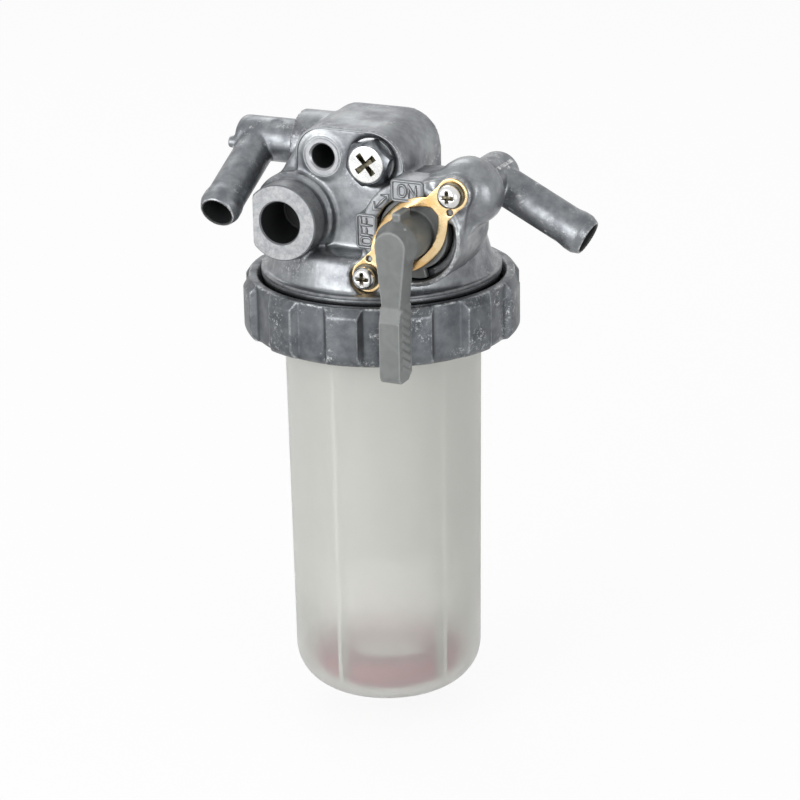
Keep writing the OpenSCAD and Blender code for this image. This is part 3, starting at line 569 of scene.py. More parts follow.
def frosted_polypropylene(name, foot_roughness):
    """Blown clear polypropylene: milky, lets light through and blurs what is behind it. The foot is blown
    thinnest, so it is the clearest and smoothest part."""
    material, tree, place = blank(name)
    flow = add(tree, "ShaderNodeTexNoise", {"Vector": place, "Scale": per_metre(14), "Detail": 3.0})
    mix = add(
        tree,
        "ShaderNodeMix",
        {"Factor": flow.outputs["Fac"], 6: tint("#dfdfda"), 7: tint("#d8d9d4")},
        data_type="RGBA",
    )
    split = add(tree, "ShaderNodeSeparateXYZ", {"Vector": place})
    clear_foot = add(
        tree,
        "ShaderNodeMapRange",
        {
            "Value": split.outputs["Z"],
            "From Min": 16 * MM,
            "From Max": 34 * MM,
            "To Min": 0.78,
            "To Max": 0.56,
        },
    )
    matt_wall = add(
        tree,
        "ShaderNodeMapRange",
        {
            "Value": split.outputs["Z"],
            "From Min": 18 * MM,
            "From Max": 36 * MM,
            "To Min": foot_roughness,
            "To Max": 0.48,
        },
    )
    shader = add(
        tree,
        "ShaderNodeBsdfPrincipled",
        {
            "Base Color": mix.outputs[2],
            "Roughness": matt_wall.outputs["Result"],
            "IOR": 1.45,
            "Transmission Weight": clear_foot.outputs["Result"],
        },
    )
    add(tree, "ShaderNodeOutputMaterial", {"Surface": shader.outputs["BSDF"]})
    return material


# Head casting: satin grey, brightest where it is rubbed
CAST = cast_alloy("die-cast aluminium, blasted", "#979a9c", "#63656a", "#e4e5e5", 0.37, bare=0.6)
# Labels and parting line: the same skin, too fine to be rubbed
CAST_FINE = cast_alloy("die-cast aluminium, fine relief", "#9a9c9e", "#85878a", "#b8babb", 0.38, bare=0.1)
# Nut: tumbled and passivated, dark grey with bright scuffs on its edges
TUMBLED = cast_alloy(
    "die-cast aluminium, tumbled dark", "#6f7275", "#4f5256", "#d0d2d3", 0.4, bare=1.0, blotch=6.0
)
# Elbows: rough from the die, mid grey with a coarser grain
ROUGH_CAST = cast_alloy(
    "die-cast aluminium, rough", "#8d9093", "#6c6f73", "#dcdddd", 0.38, bare=0.9, grain=1.1, blotch=4.0
)
# Rim of the head: its trimmed edge reads as a duller, darker line than the casting above it
RIM_ALLOY = plated_steel("die-cast aluminium, trimmed edge", "#909294", "#747679", 0.46, size=3.0)
# Port faces: cut after casting, flat and cool beside the blasted skin
LARGE_PORT_CUT = turned_alloy("machined aluminium, large port", "#828487", LARGE_PORT)
SMALL_PORT_CUT = turned_alloy("machined aluminium, small port", "#94969a", SMALL_PORT)
# Screws: bright and nearly white, the sharpest highlights on the part
ZINC = plated_steel("zinc-plated steel, clear passivated", "#e2e2e0", "#c4c5c4", 0.22)
# Plate: pale gold, a warm ring round the cock
YELLOW_ZINC = plated_steel("zinc-plated steel, yellow passivated", "#ead2a6", "#d9b27a", 0.26, size=5.0)
# Bottoms of the cross recesses: painted shade, dark with a yellow-brown oily tint
RECESS_SHADE_STEEL = plated_steel("zinc-plated steel, painted recess shade", "#524d40", "#8a8472", 0.4, size=1.2)
# Flats of the bleed screw: painted shade, darker than the face where the sides turn from the light
FLATS_SHADE_ZINC = plated_steel("zinc-plated steel, painted shade on the flats", "#8b8e92", "#54575b", 0.36, size=4.0)
# Spring washers: a thin brown ring that sets each screw off the plate
DARK_ZINC = plated_steel("spring steel, oiled", "#6a655a", "#4a463e", 0.34)
# Bleed washer: a dull light line between the hexagon and the head
ALLOY_WASHER = plated_steel("turned aluminium washer", "#cfd0d0", "#b5b6b6", 0.35)
# Lever: flat mid grey, clouded by handling and paler along its edges
ACETAL = moulded_plastic(
    "acetal, moulded grey",
    "#6c6f6e",
    "#515453",
    0.4,
    relief_strength=0.4,
    soft=0.03,
    cloud=3.5,
    edge_tone="#8f9291",
)
# Painted shade: a dull dark seam round the raised letters and the large port's chamfer, where shadow lines
# fall
SEAM_SHADE = moulded_plastic("painted shade in the seams", "#505356", "#6a6d70", 0.55, cloud=3.0)
# Bores, hose ends and the rim's lower band: painted shade, nearly black, so that an opening or gap reads as
# deep
BORE_SHADE = moulded_plastic("cut aluminium bore, painted shade", "#232425", "#1a1b1c", 0.45)
# Seals, grommet and packing: soft black with a dull shine
RUBBER = moulded_plastic("nitrile rubber, moulded", "#1b1b1c", "#222223", 0.55)
# Float ring: strong pink, because the frosted wall pales it
FLOAT_RED = moulded_plastic("foamed polypropylene, red", "#d03a6e", "#c02f62", 0.5, soft=0.1)
# Element: white caps and matt white pleats, a faint light shape through the bowl
CAP_WHITE = moulded_plastic("nylon, moulded natural", "#fafaf7", "#f4f4f0", 0.5)
PAPER = moulded_plastic("filter paper, pleated", "#fbfaf6", "#f3f2ec", 0.85, grain=0.3)
# Ribs: thicker than the wall, so they show as pale upright lines
MILKY = moulded_plastic("polypropylene, thick and milky", "#e9e9e4", "#e0e0db", 0.5)
# Bowl: matt outside, and smoother inside at the foot, where the red ring shows through. Below 0.28 the outer
# side's frost breaks up into dots.
FROSTED = frosted_polypropylene("polypropylene, blown clear and matt", 0.28)
FROSTED_INSIDE = frosted_polypropylene("polypropylene, blown clear and matt, inside", 0.12)


# Pieces that are the CAD solids with a cast or moulded skin

LABEL_LIFT = 0.5
LABEL_MARGIN = 0.1
LABELS_REACH = 22


def flatten_labels(mesh):
    """Presses the raised labels back into the seat's plane, because they are made again as crisp ridges:
    points near the cock whose y is just in front of the seat get the seat's y."""
    place = np.empty(len(mesh.vertices) * 3)
    mesh.vertices.foreach_get("co", place)
    place = place.reshape(-1, 3)
    x, y, z = place.T / MM
    near = (np.abs(x - COCK[0]) < LABELS_REACH) & (np.abs(z - COCK[2]) < LABELS_REACH)
    raised = (y > SEAT_Y - LABEL_LIFT - LABEL_MARGIN) & (y < SEAT_Y - LABEL_MARGIN)
    place[near & raised, 1] = SEAT_Y * MM
    mesh.vertices.foreach_set("co", place.ravel())
    mesh.update()


wear(recast("head_casting", "head", "head", skin=0.56, passes=3, flatten=flatten_labels), CAST)
inlet = wear(recast("inlet_elbow_casting", "inlet_elbow", "head", skin=0.34, passes=4), ROUGH_CAST)
outlet = wear(recast("outlet_elbow_casting", "outlet_elbow", "head", skin=0.34, passes=4), ROUGH_CAST)
wear(recast("ring_nut_casting", "ring_nut", "nut", skin=0.42, passes=1), TUMBLED)
wear(recast("cock_lever_moulding", "cock_lever", "cock", skin=0.3, passes=4), ACETAL)
wear(recast("spring_plate_pressing", "spring_plate", "head", skin=0.17, passes=3), YELLOW_ZINC)
screws = wear(recast("plate_screw_heads", "plate_screws", "head", skin=0.13, passes=2), ZINC)

for node, material in {
    "bowl_seal": RUBBER,
    "element_grommet": RUBBER,
    "lever_seal": RUBBER,
    "cock_packing": RUBBER,
    "float_ring": FLOAT_RED,
    "element_top_cap": CAP_WHITE,
    "element_bottom_cap": CAP_WHITE,
    "element_core": CAP_WHITE,
    "element_media": PAPER,
    "bleed_washer": ALLOY_WASHER,
}.items():
    wear(frame["nodes"][node], material)


# Painted shade in the cross recesses and the tubes

RECESS_END = 4
BORE_REACH = 28
BORE_FACES_R = 4.7
WASHER_R = 3.75
PLATE_SCREWS = [
    (WASHERS_HIGH[0] - WASHER_R, WASHERS_HIGH[2] - WASHER_R),
    (WASHERS_LOW[0] + WASHER_R, WASHERS_LOW[2] + WASHER_R),
]


def in_recess(centres, r, depth):
    """Test for faces within a radius of a screw's axis that lie deeper than this behind its head's front."""

    def where(x, y, z):
        inside = np.zeros(len(x), dtype=bool)
        for cx, cz in centres:
            near = np.hypot(x - cx, z - cz) < r
            behind = y - y[near].min()
            inside |= near & (behind > depth) & (behind < RECESS_END)
        return inside

    return where


def in_bore(mount):
    """Test for faces near a hose tube's axis, from the tube's end to its corner."""
    start, axis = mm(mount["pos_m"]), np.array(mount["axis"], dtype=float)
    axis = axis / np.linalg.norm(axis)

    def where(x, y, z):
        reach = np.stack([x, y, z], axis=1) - start
        along = reach @ axis
        off_axis = np.linalg.norm(reach - along[:, None] * axis, axis=1)
        return (off_axis < BORE_FACES_R) & (np.abs(along) < BORE_REACH)

    return where


# Painted shade: the plate screws' cross recesses are dark, as in shadow
stain(screws, RECESS_SHADE_STEEL, in_recess(PLATE_SCREWS, r=2.3, depth=0.55))
# Painted shade: the insides of the hose tubes are near black, as in shadow
stain(inlet, BORE_SHADE, in_bore(MOUNTS["inlet_hose"]))
stain(outlet, BORE_SHADE, in_bore(MOUNTS["outlet_hose"]))


# Bleed screw

HEX_FLATS = 12.0
HEX_TURN = 14
HEAD_H = 4.2
DISC_R = 5.25
DISC_GROOVE = 0.12
DISC_GROOVE_W = 0.25
CHAMFER = 0.86
CROSS_TURN = 40
CROSS_HALF_L = 3.5
CROSS_HALF_W = 0.6
CROSS_FLARE = 0.08
CROSS_EDGE = 0.12
CROSS_DEPTH = 2.4
CROSS_END_SHARE = 0.25
SHANK_R = 4.0
SHANK_L = 9.5
SHANK_TIP = 0.8
SHANK_INTO_HEAD = 0.3


def hex_screw(name, spot_y):
    """Rings at share u of the hexagon's radius, R = flats / 2 / cos(angle from the nearest flat's middle).
    The front is flat up to the disc's radius, where a shallow groove runs round, and falls off as a cone
    beyond it. Each arm of the cross takes a depth off it that shrinks along the arm, and the outer ring is
    carried back as the head's sides."""
    t = np.linspace(0, TAU, 240, endpoint=False)
    off_flat = (t - math.radians(HEX_TURN) + TAU) % (TAU / 6) - TAU / 12
    hexagon = HEX_FLATS / 2 / np.cos(off_flat)
    u = np.concatenate([np.linspace(0.02, 0.66, 57), np.linspace(0.69, 0.995, 20), [1.0]])[:, None]
    r = u * hexagon
    x, z = r * np.cos(t), r * np.sin(t)
    rise = HEAD_H - CHAMFER * np.clip(r - DISC_R, 0, None)
    groove = np.clip((r - DISC_R + DISC_GROOVE_W) / DISC_GROOVE_W, 0, 1) * (r < DISC_R + DISC_GROOVE_W)
    rise = rise - DISC_GROOVE * groove
    for turn in (CROSS_TURN, CROSS_TURN + 90):
        a = math.radians(turn)
        along = np.abs(x * math.cos(a) + z * math.sin(a))
        aside = np.abs(-x * math.sin(a) + z * math.cos(a))
        arm = np.clip((CROSS_HALF_W + CROSS_FLARE * along - aside) / CROSS_EDGE, 0, 1)
        share = np.clip(1 + CROSS_END_SHARE - along / CROSS_HALF_L, 0, 1) * (along < CROSS_HALF_L)
        rise = np.minimum(rise, HEAD_H - arm * CROSS_DEPTH * share)
    front = np.stack([x, -rise, z], axis=-1)
    side = np.stack([x[-1], np.zeros(len(t)), z[-1]], axis=-1)[None]
    rings = np.concatenate([front, side])
    points = rings.reshape(-1, 3) + np.array([BLEED[0], spot_y, BLEED[2]])
    return crisp(finish_mesh(name, points, tube_faces(len(rings), len(t))), 24)


bleed = wear(hex_screw("bleed_screw_head", BLEED_WASHER_FRONT_Y), ZINC)
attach(bleed, "bleed_screw")
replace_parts(bleed, "bleed_screw")
# Painted shade: the bleed screw's cross recess is dark, as in shadow
stain(bleed, RECESS_SHADE_STEEL, in_recess([(BLEED[0], BLEED[2])], r=4.0, depth=0.3))
# Painted shade: the chamfer and flats outside the disc are darker, as shaded sides
stain(bleed, FLATS_SHADE_ZINC, lambda x, y, z: np.hypot(x - BLEED[0], z - BLEED[2]) > DISC_R)
shank_profile = [
    (0, SHANK_INTO_HEAD),
    (SHANK_R, SHANK_INTO_HEAD),
    (SHANK_R, -SHANK_L + SHANK_TIP),
    (SHANK_R - SHANK_TIP, -SHANK_L),
    (0, -SHANK_L),
]
shank_from = (BLEED[0], BLEED_WASHER_FRONT_Y, BLEED[2])
shank = crisp(wear(lathe("bleed_screw_shank", shank_profile, 64, shank_from), ZINC))
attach(shank, "bleed_screw")


# Bowl

BOWL_R = 28.4
BOWL_FOOT_R = BOWL_R - 0.9
BOWL_CORNER_R = 11.9
BOWL_WALL = 2.4
BOWL_FLANGE_T = 3.2
FLOOR_R = BOWL_FOOT_R - BOWL_CORNER_R
EDGE_R = 0.5
WALL_STEPS = np.array([0.006, 0.02, 0.05, 0.12, 0.3, 0.6])


def wall_points(inset, upwards=True):
    """Points up the bowl's leaning wall, closer together near the round corner, so that it shades evenly."""
    share = WALL_STEPS if upwards else WALL_STEPS[::-1]
    radius = BOWL_FOOT_R - inset + (BOWL_R - BOWL_FOOT_R) * share
    height = BOWL_CORNER_R + (BOWL_H - BOWL_FLANGE_T - BOWL_CORNER_R) * share
    return list(zip(radius, height))


def wall_lean(z):
    """How far the wall at this height stands out past the bowl's foot: none below the corner's top, then in
    step with the height."""
    return (BOWL_R - BOWL_FOOT_R) * np.clip(z - BOWL_CORNER_R, 0, None) / (BOWL_H - BOWL_CORNER_R)


def inside_bowl(x, y, z):
    """Faces nearer to the inside of the wall than to its outside, round the corner and up the lean."""
    off_corner = np.hypot(np.clip(np.hypot(x, y) - FLOOR_R, 0, None), np.clip(BOWL_CORNER_R - z, 0, None))
    return off_corner < BOWL_CORNER_R - BOWL_WALL / 2 + wall_lean(z)


bowl_profile = (
    [(0, 0), (FLOOR_R * 0.5, 0)]
    + arc(FLOOR_R, BOWL_CORNER_R, BOWL_CORNER_R, -90, 0, 20)
    + wall_points(0)
    + [(BOWL_R, BOWL_H - BOWL_FLANGE_T - EDGE_R), (BOWL_R + EDGE_R, BOWL_H - BOWL_FLANGE_T)]
    + arc(FLANGE_R - EDGE_R, BOWL_H - BOWL_FLANGE_T + EDGE_R, EDGE_R, -90, 0, 4)
    + arc(FLANGE_R - EDGE_R, BOWL_H - EDGE_R, EDGE_R, 0, 90, 4)
    + arc(BOWL_R - BOWL_WALL + EDGE_R, BOWL_H - EDGE_R, EDGE_R, 90, 180, 4)
    + wall_points(BOWL_WALL, upwards=False)
    + arc(FLOOR_R, BOWL_CORNER_R, BOWL_CORNER_R - BOWL_WALL, 0, -90, 20)
    + [(FLOOR_R * 0.5, BOWL_WALL), (0, BOWL_WALL)]
)
bowl = wear(lathe("bowl_moulding", bowl_profile, 192), FROSTED)
stain(bowl, FROSTED_INSIDE, inside_bowl)
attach(bowl, "bowl")
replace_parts(bowl, "bowl")

RIB_COUNT = 5
RIB_AT = -98
RIB_W = 1.2
RIB_EDGE_R = 21.9
RIB_FOOT = 1.2
RIB_INTO_WALL = 0.15
RIB_LEAST_L = 0.4


def guide_ribs(name):
    """Upright ribs inside the bowl. Each is a strip whose foot follows the round corner: at height z its
    outer edge is the bowl's inner radius there, and its thickness halves towards its inner edge."""
    foot_heights = np.linspace(BOWL_WALL + RIB_FOOT, BOWL_CORNER_R, 12)
    heights = np.append(foot_heights, BOWL_H - BOWL_FLANGE_T)
    inner_corner = BOWL_CORNER_R - BOWL_WALL
    drop = np.clip(BOWL_CORNER_R - heights, 0, inner_corner)
    outer = FLOOR_R + np.sqrt(inner_corner**2 - drop**2) + wall_lean(heights) + RIB_INTO_WALL
    inner = np.minimum(RIB_EDGE_R, outer - RIB_LEAST_L)
    section = ((outer, -0.5), (inner, -0.28), (inner, 0.28), (outer, 0.5))
    verts, faces = [], []
    for k in range(RIB_COUNT):
        turn = math.radians(RIB_AT + k * 360 / RIB_COUNT)
        along = np.array([math.cos(turn), math.sin(turn), 0])
        aside = np.array([-math.sin(turn), math.cos(turn), 0])
        up = heights[:, None] * np.array([0, 0, 1])
        loops = [r[:, None] * along + side * RIB_W * aside + up for r, side in section]
        verts.append(np.stack(loops, axis=1).reshape(-1, 3))
        faces += tube_faces(len(heights), len(section), k * len(heights) * len(section))
    return finish_mesh(name, np.concatenate(verts), faces)


ribs = wear(guide_ribs("bowl_guide_ribs"), MILKY)
ribs.data.shade_flat()
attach(ribs, "bowl")


# Machined faces of the head: rings that stand a hair proud of the casting

PROUD = 0.06
BOSS_R = 10.9
BOSS_FLAT = 8.3
SMALL_RING_R = 6.2
SMALL_RING_OUT = 0.5
SHADE_SEAM_W = 0.3


def machined_ring(name, centre, outer_r, inner_r, face_y, depth, chamfer, flat=None, groove=()):
    """A ring turned round an axis along -Y: outer wall, face with a small chamfer on both edges, bore. A
    flat cuts off what lies further than that to the left of the axis, and a groove of (radius, width, depth)
    is cut into the face."""
    front = -face_y + PROUD
    groove_points = []
    if groove:
        r, w, cut = groove
        groove_points = [
            (r + w / 2, front),
            (r + w / 4, front - cut),
            (r - w / 4, front - cut),
            (r - w / 2, front),
        ]
    profile = [
        (outer_r, front - depth),
        (outer_r, front - chamfer),
        (outer_r - chamfer, front),
        *groove_points,
        (inner_r + chamfer, front),
        (inner_r, front - chamfer),
        (inner_r, front - depth),
    ]
    ring = lathe(name, profile, 128, (centre[0], 0, centre[2]))
    if flat is not None:
        place = np.empty(len(ring.data.vertices) * 3)
        ring.data.vertices.foreach_get("co", place)
        place[::3] = np.maximum(place[::3], (centre[0] - flat) * MM)
        ring.data.vertices.foreach_set("co", place)
    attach(crisp(ring), "head")
    return ring


boss_ring = machined_ring(
    "large_port_face",
    LARGE_PORT,
    outer_r=BOSS_R + PROUD,
    inner_r=LARGE_PORT_R - PROUD,
    face_y=LARGE_FACE_Y,
    depth=6.0,
    chamfer=0.35,
    flat=BOSS_FLAT,
)
wear(boss_ring, LARGE_PORT_CUT)
# Painted shade: a dark band round the port face's chamfered edges
stain(boss_ring, SEAM_SHADE, lambda x, y, z: (y > LARGE_FACE_Y) & (y < LARGE_FACE_Y + SHADE_SEAM_W))
port_ring = machined_ring(
    "small_port_face",
    SMALL_PORT,
    outer_r=SMALL_RING_R + PROUD,
    inner_r=SMALL_PORT_R - PROUD,
    face_y=FRONT_Y - SMALL_RING_OUT,
    depth=3.0,
    chamfer=0.5,
    groove=(5.3, 0.5, 0.35),
)
wear(port_ring, SMALL_PORT_CUT)

LINING_IN = 0.15
LINING_OUT = 0.1
LINING_FLOOR = 0.12
LINING_BACK = 0.5


def bore_lining(name, centre, r, face_y, depth):
    """The inside of a blind bore: a wall and a floor turned round its axis, open towards the front."""
    mouth = -face_y - LINING_BACK
    floor_h = -face_y - depth
    profile = [
        (r - LINING_IN, mouth),
        (r - LINING_IN, floor_h + LINING_FLOOR),
        (0, floor_h + LINING_FLOOR),
        (0, floor_h),
        (r + LINING_OUT, floor_h),
        (r + LINING_OUT, mouth),
    ]
    # Painted shade: the lining is near black, as the inside of the bore lies in shadow
    lining = crisp(wear(lathe(name, profile, 96, (centre[0], 0, centre[2])), BORE_SHADE))
    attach(lining, "head")


bore_lining("large_port_bore", LARGE_PORT, LARGE_PORT_R, LARGE_FACE_Y, depth=14.8)
bore_lining("small_port_bore", SMALL_PORT, SMALL_PORT_R, FRONT_Y, depth=11.8)


# Rim of the head over the nut: a crisp edge, with painted shade on its lower band for the dark gap above the
# nut

HEAD_RIM_Z = 129.2
HEAD_RIM_H = 2.3
HEAD_RIM_R = 34.5
RIM_BEVEL = 0.25
RIM_LIP = 1.0
RIM_W = 2.2
RIM_SET_IN = 0.05
rim_profile = [
    (HEAD_RIM_R - RIM_W, HEAD_RIM_Z - HEAD_RIM_H + RIM_SET_IN),
    (HEAD_RIM_R - RIM_SET_IN, HEAD_RIM_Z - HEAD_RIM_H + RIM_SET_IN),
    (HEAD_RIM_R - RIM_SET_IN, HEAD_RIM_Z - RIM_LIP - 0.1),
    (HEAD_RIM_R, HEAD_RIM_Z - RIM_LIP),
    (HEAD_RIM_R, HEAD_RIM_Z - RIM_BEVEL),
    (HEAD_RIM_R - RIM_BEVEL, HEAD_RIM_Z),
    (HEAD_RIM_R - RIM_W, HEAD_RIM_Z),
]
rim = crisp(wear(lathe("head_rim_edge", rim_profile, 192), RIM_ALLOY))
# Painted shade: below the lip the rim is near black, standing in for the shade of the gap
stain(rim, BORE_SHADE, lambda x, y, z: z < HEAD_RIM_Z - RIM_LIP)
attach(rim, "head")


# Spring washers under the plate screws

WASHER_BORE_R = 2.15
WASHER_GAP = 14
WASHER_GAP_AT = 200
WASHER_LIFT = 0.25
WASHER_EDGE = 0.12


def spring_washer(name, centre, thickness):
    """A split ring: its square section is carried round all but a small gap and rises a little on the
    way."""
    t = np.radians(np.linspace(WASHER_GAP / 2, 360 - WASHER_GAP / 2, 72) + WASHER_GAP_AT)
    rise = np.linspace(0, WASHER_LIFT, len(t))
    e, r_in, r_out, top = WASHER_EDGE, WASHER_BORE_R, WASHER_R, thickness - WASHER_LIFT
    section = [
        (r_in + e, 0),
        (r_out - e, 0),
        (r_out, e),
        (r_out, top - e),
        (r_out - e, top),
        (r_in + e, top),
        (r_in, top - e),
        (r_in, e),
    ]
    radius, height = np.array(section).T
    x = centre[0] + radius * np.cos(t)[:, None]
    z = centre[1] + radius * np.sin(t)[:, None]
    y = PLATE_FRONT_Y - (height + rise[:, None])
    points = np.stack([x, y, z], axis=-1).reshape(-1, 3)
    washer = finish_mesh(name, points, tube_faces(len(t), len(section)))
    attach(wear(crisp(washer, 40), DARK_ZINC), "head")
    return washer


washer_t = WASHERS_HIGH[1] - WASHERS_LOW[1]
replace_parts(spring_washer("spring_washer_upper", PLATE_SCREWS[0], washer_t), "plate_washers")
spring_washer("spring_washer_lower", PLATE_SCREWS[1], washer_t)


# Labels beside the cock

LABEL_L = 9.6
LABEL_W = 6.0
LABEL_LINE_IN = 0.5
LABEL_LINE_R = 0.8
LABEL_PAD_R = 1.2
LETTER_H = 3.2
LETTER_W = 2.1
ON_AT = (COCK[0] - 0.6, COCK[2] + 12.4)
OFF_AT = (COCK[0] - 13.1, COCK[2] - 0.2)
ON_STEP = 3.1
OFF_STEP = 2.8
DIAGONAL = 0.707
ARROW_OFF = 12.1 * DIAGONAL
ARROW_AT = (COCK[0] - ARROW_OFF, COCK[2] + ARROW_OFF)


def turned(points, angle, centre):
    """Plane points turned by an angle in degrees and moved to the centre."""
    a = math.radians(angle)
    spin = np.array([[math.cos(a), math.sin(a)], [-math.sin(a), math.cos(a)]])
    return np.array(points, dtype=float) @ spin + np.array(centre)


def rounded_frame(length, width, radius):
    """Outline of a rectangle with round corners: four quarter circles, each as far in as its radius."""
    points = []
    for sx, sy, start in ((1, 1, 0), (-1, 1, 90), (-1, -1, 180), (1, -1, 270)):
        points += arc(sx * (length / 2 - radius), sy * (width / 2 - radius), radius, start, start + 90, 5)
    return points


def letter(shape, shift):
    """Strokes of one letter: each is (points, closed)."""
    w, h = LETTER_W / 2, LETTER_H / 2
    if shape == "O":
        strokes = [(arc(0, h - w, w, 0, 180, 9) + arc(0, w - h, w, 180, 360, 9), True)]
    elif shape == "N":
        strokes = [([(-w, -h), (-w, 0), (-w, h), (0, 0), (w, -h), (w, 0), (w, h)], False)]
    else:
        strokes = [
            ([(-w, -h), (-w, 0), (-w, h), (0, h), (w, h)], False),
            ([(-w, 0), (0, 0), (w * 0.7, 0)], False),
        ]
    return [([(x + shift, y) for x, y in points], closed) for points, closed in strokes]


def label(word, centre, angle, step):
    """A rounded frame with a word in it, its letters one step apart."""
    outline = rounded_frame(LABEL_L - LABEL_LINE_IN, LABEL_W - LABEL_LINE_IN, LABEL_LINE_R)
    strokes = [(outline, True)]
    for k, shape in enumerate(word):
        strokes += letter(shape, (k - (len(word) - 1) / 2) * step)
    return [(turned(points, angle, centre), closed, SEAT_Y) for points, closed in strokes]


def label_pad(name, centre, angle):
    """The raised ground of a label: its rounded outline carried from the casting's front face to the seat's
    plane, with a small slope at the edge."""
    loops = []
    for y, spread in ((FRONT_Y + 0.5, 0.6), (SEAT_Y + 0.25, 0.35), (SEAT_Y - 0.02, 0.1)):
        outline = turned(rounded_frame(LABEL_L + spread, LABEL_W + spread, LABEL_PAD_R), angle, centre)
        loops.append(np.column_stack([outline[:, 0], np.full(len(outline), y), outline[:, 1]]))
    pad = finish_mesh(name, np.concatenate(loops), tube_faces(len(loops), len(loops[0])))
    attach(wear(crisp(pad), CAST_FINE), "head")


label_pad("label_pad_on", ON_AT, 0)
label_pad("label_pad_off", OFF_AT, 90)

arrow_strokes = [
    [(-2.7, 0), (0, 0), (2.7, 0)],
    [(1.6, 1.3), (3.0, 0), (1.6, -1.3)],
    [(-1.6, 1.3), (-3.0, 0), (-1.6, -1.3)],
]
label_paths = (
    label("ON", ON_AT, 0, ON_STEP)
    + label("OFF", OFF_AT, 90, OFF_STEP)
    + [(turned(points, 45, ARROW_AT), False, SEAT_Y) for points in arrow_strokes]
)
labels = wear(beads("raised_labels", label_paths, width=0.55, height=0.42), CAST_FINE)
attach(labels, "head")
# Painted shade: a low dark seam under the raised letters, for their shadow lines
shade_seam = wear(beads("label_shade_seam", label_paths, width=1.05, height=0.09), SEAM_SHADE)
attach(shade_seam, "head")


# Parting line that the die left along the front edge of the block

BLOCK_RIGHT = 17.4
BLOCK_TOP = 173.3
RIGHT_CORNER_R = 10.5
LEFT_CORNER_R = 8.6
LINE_IN = 0.45
LINE_SUNK = 0.12
LINE_FOOT_Z = 154
LINE_BEND_Z = 158
parting_points = (
    [(BLOCK_RIGHT - LINE_IN, LINE_FOOT_Z), (BLOCK_RIGHT - LINE_IN, LINE_BEND_Z)]
    + arc(BLOCK_RIGHT - RIGHT_CORNER_R, BLOCK_TOP - RIGHT_CORNER_R, RIGHT_CORNER_R - LINE_IN, 0, 90, 16)
    + arc(SMALL_PORT[0], BLOCK_TOP - LEFT_CORNER_R, LEFT_CORNER_R - LINE_IN, 90, 180, 16)
    + [(SMALL_PORT[0] - LEFT_CORNER_R + LINE_IN, LINE_BEND_Z)]
)
parting_paths = [(parting_points, False, FRONT_Y + LINE_SUNK)]
parting = wear(beads("parting_line", parting_paths, width=0.6, height=0.45), CAST_FINE)
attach(parting, "head")


# Camera, floor and light. Lamps are placed in metres

AZIMUTH = 25.0
ELEVATION = 19.6
ROLL = -1.0
DISTANCE = 874.0
AIM_SIDE = 4.55
AIM_Z = 86.9
LENS = 135.0
SENSOR = 36.0
# The floor lies just below the bowl's lowest place, when it is screwed off the head
FLOOR_Z = -mm(JOINTS["bowl_drop"]["range_m"])[1] - 0.5
FAR = 4000
WHITE = (1, 1, 1, 1)
WORLD_LIGHT = 0.68
FLOOR_SEEN_SHARE = 0.9
MIDDLE = (0, 0, 0.11)


def photo_camera():
    """A camera on a sphere round the aim point, turned by azimuth and elevation and then rolled."""
    a, e, r = (math.radians(v) for v in (AZIMUTH, ELEVATION, ROLL))
    ahead = Vector((-math.sin(a) * math.cos(e), math.cos(a) * math.cos(e), -math.sin(e)))
    level = Vector((math.cos(a), math.sin(a), 0))
    upright = level.cross(ahead)
    right = math.cos(r) * level + math.sin(r) * upright
    up = -math.sin(r) * level + math.cos(r) * upright
    aim = Vector((AIM_SIDE * math.cos(a), AIM_SIDE * math.sin(a), AIM_Z)) * MM
    lens = bpy.data.cameras.new("photo_camera")
    lens.lens = LENS
    lens.sensor_width = SENSOR
    camera = linked("photo_camera", lens)
    turn = Matrix((right, up, -ahead)).transposed().to_4x4()
    camera.matrix_world = Matrix.Translation(aim - ahead * DISTANCE * MM) @ turn
    bpy.context.scene.camera = camera


def soft_box(name, place, size, watts, aim=MIDDLE):
    """A square lamp that faces the object."""
    lamp = bpy.data.lights.new(name, "AREA")
    lamp.size = size
    lamp.energy = watts
    obj = linked(name, lamp)
    obj.location = place
    obj.rotation_euler = (Vector(aim) - Vector(place)).to_track_quat("-Z", "Y").to_euler()


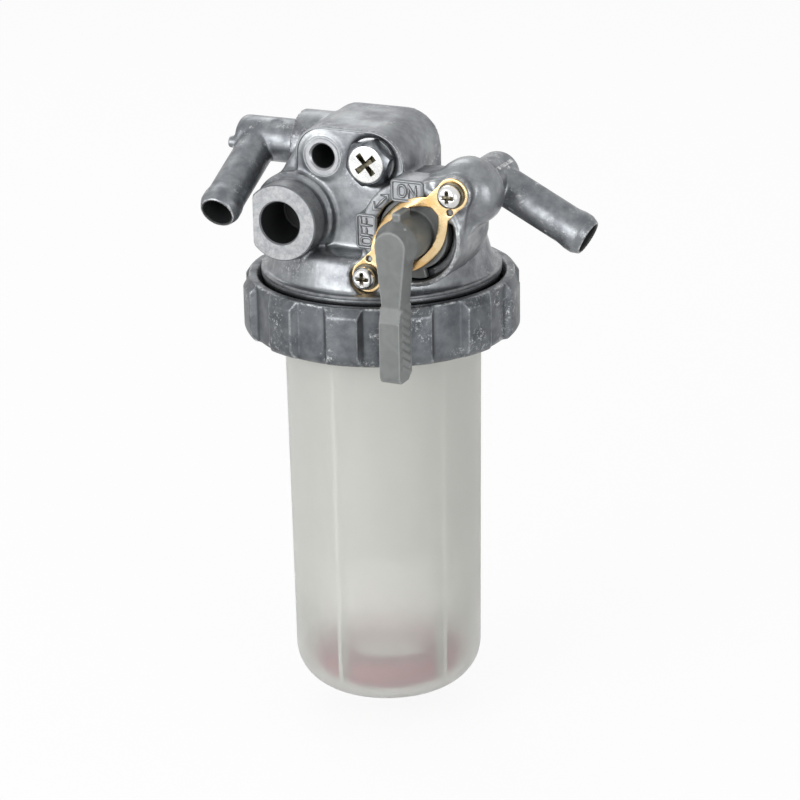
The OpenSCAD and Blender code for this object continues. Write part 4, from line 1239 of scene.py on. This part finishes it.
def seen_rays(tree):
    """1 for the rays that see the background: from the camera, off a gloss and through the bowl."""
    path = add(tree, "ShaderNodeLightPath")
    direct = add(
        tree,
        "ShaderNodeMath",
        {0: path.outputs["Is Camera Ray"], 1: path.outputs["Is Transmission Ray"]},
        operation="MAXIMUM",
    )
    both = add(
        tree,
        "ShaderNodeMath",
        {0: direct.outputs[0], 1: path.outputs["Is Glossy Ray"]},
        operation="MAXIMUM",
    )
    return both.outputs[0]


def studio():
    """A white sweep: the world and the floor are white to the camera, and softer to what they light."""
    world = bpy.data.worlds.new("studio")
    bpy.context.scene.world = world
    world.use_nodes = True
    tree = world.node_tree
    tree.nodes.clear()
    soft = add(tree, "ShaderNodeBackground", {"Color": WHITE, "Strength": WORLD_LIGHT})
    white = add(tree, "ShaderNodeBackground", {"Color": WHITE, "Strength": 1.0})
    both = add(tree, "ShaderNodeMixShader", {0: seen_rays(tree), 1: soft.outputs[0], 2: white.outputs[0]})
    add(tree, "ShaderNodeOutputWorld", {"Surface": both.outputs[0]})

    # Matt white paper: it glows to the camera, and what doesn't glow keeps the part's soft shadow
    material, tree, _ = blank("white paper sweep")
    matt = add(tree, "ShaderNodeBsdfDiffuse", {"Color": tint("#f0f0f0")})
    glow = add(tree, "ShaderNodeEmission", {"Color": WHITE, "Strength": 1.0})
    share = add(tree, "ShaderNodeMath", {0: seen_rays(tree), 1: FLOOR_SEEN_SHARE}, operation="MULTIPLY")
    both = add(tree, "ShaderNodeMixShader", {0: share.outputs[0], 1: matt.outputs[0], 2: glow.outputs[0]})
    add(tree, "ShaderNodeOutputMaterial", {"Surface": both.outputs[0]})
    corners = [(x, y, FLOOR_Z) for x, y in ((-FAR, -FAR), (FAR, -FAR), (FAR, FAR), (-FAR, FAR))]
    floor = finish_mesh("floor", corners, [[0, 1, 2, 3]])
    wear(floor, material)


photo_camera()
studio()
soft_box("key_left", (-0.32, -0.93, 0.3), size=0.8, watts=8.5)
soft_box("fill_right", (0.95, -0.6, 0.12), size=0.5, watts=4.4, aim=(0, 0, 0.05))
soft_box("top_back", (-0.45, 0.55, 0.75), size=0.5, watts=1.2)

bpy.context.scene.view_settings.view_transform = "Standard"
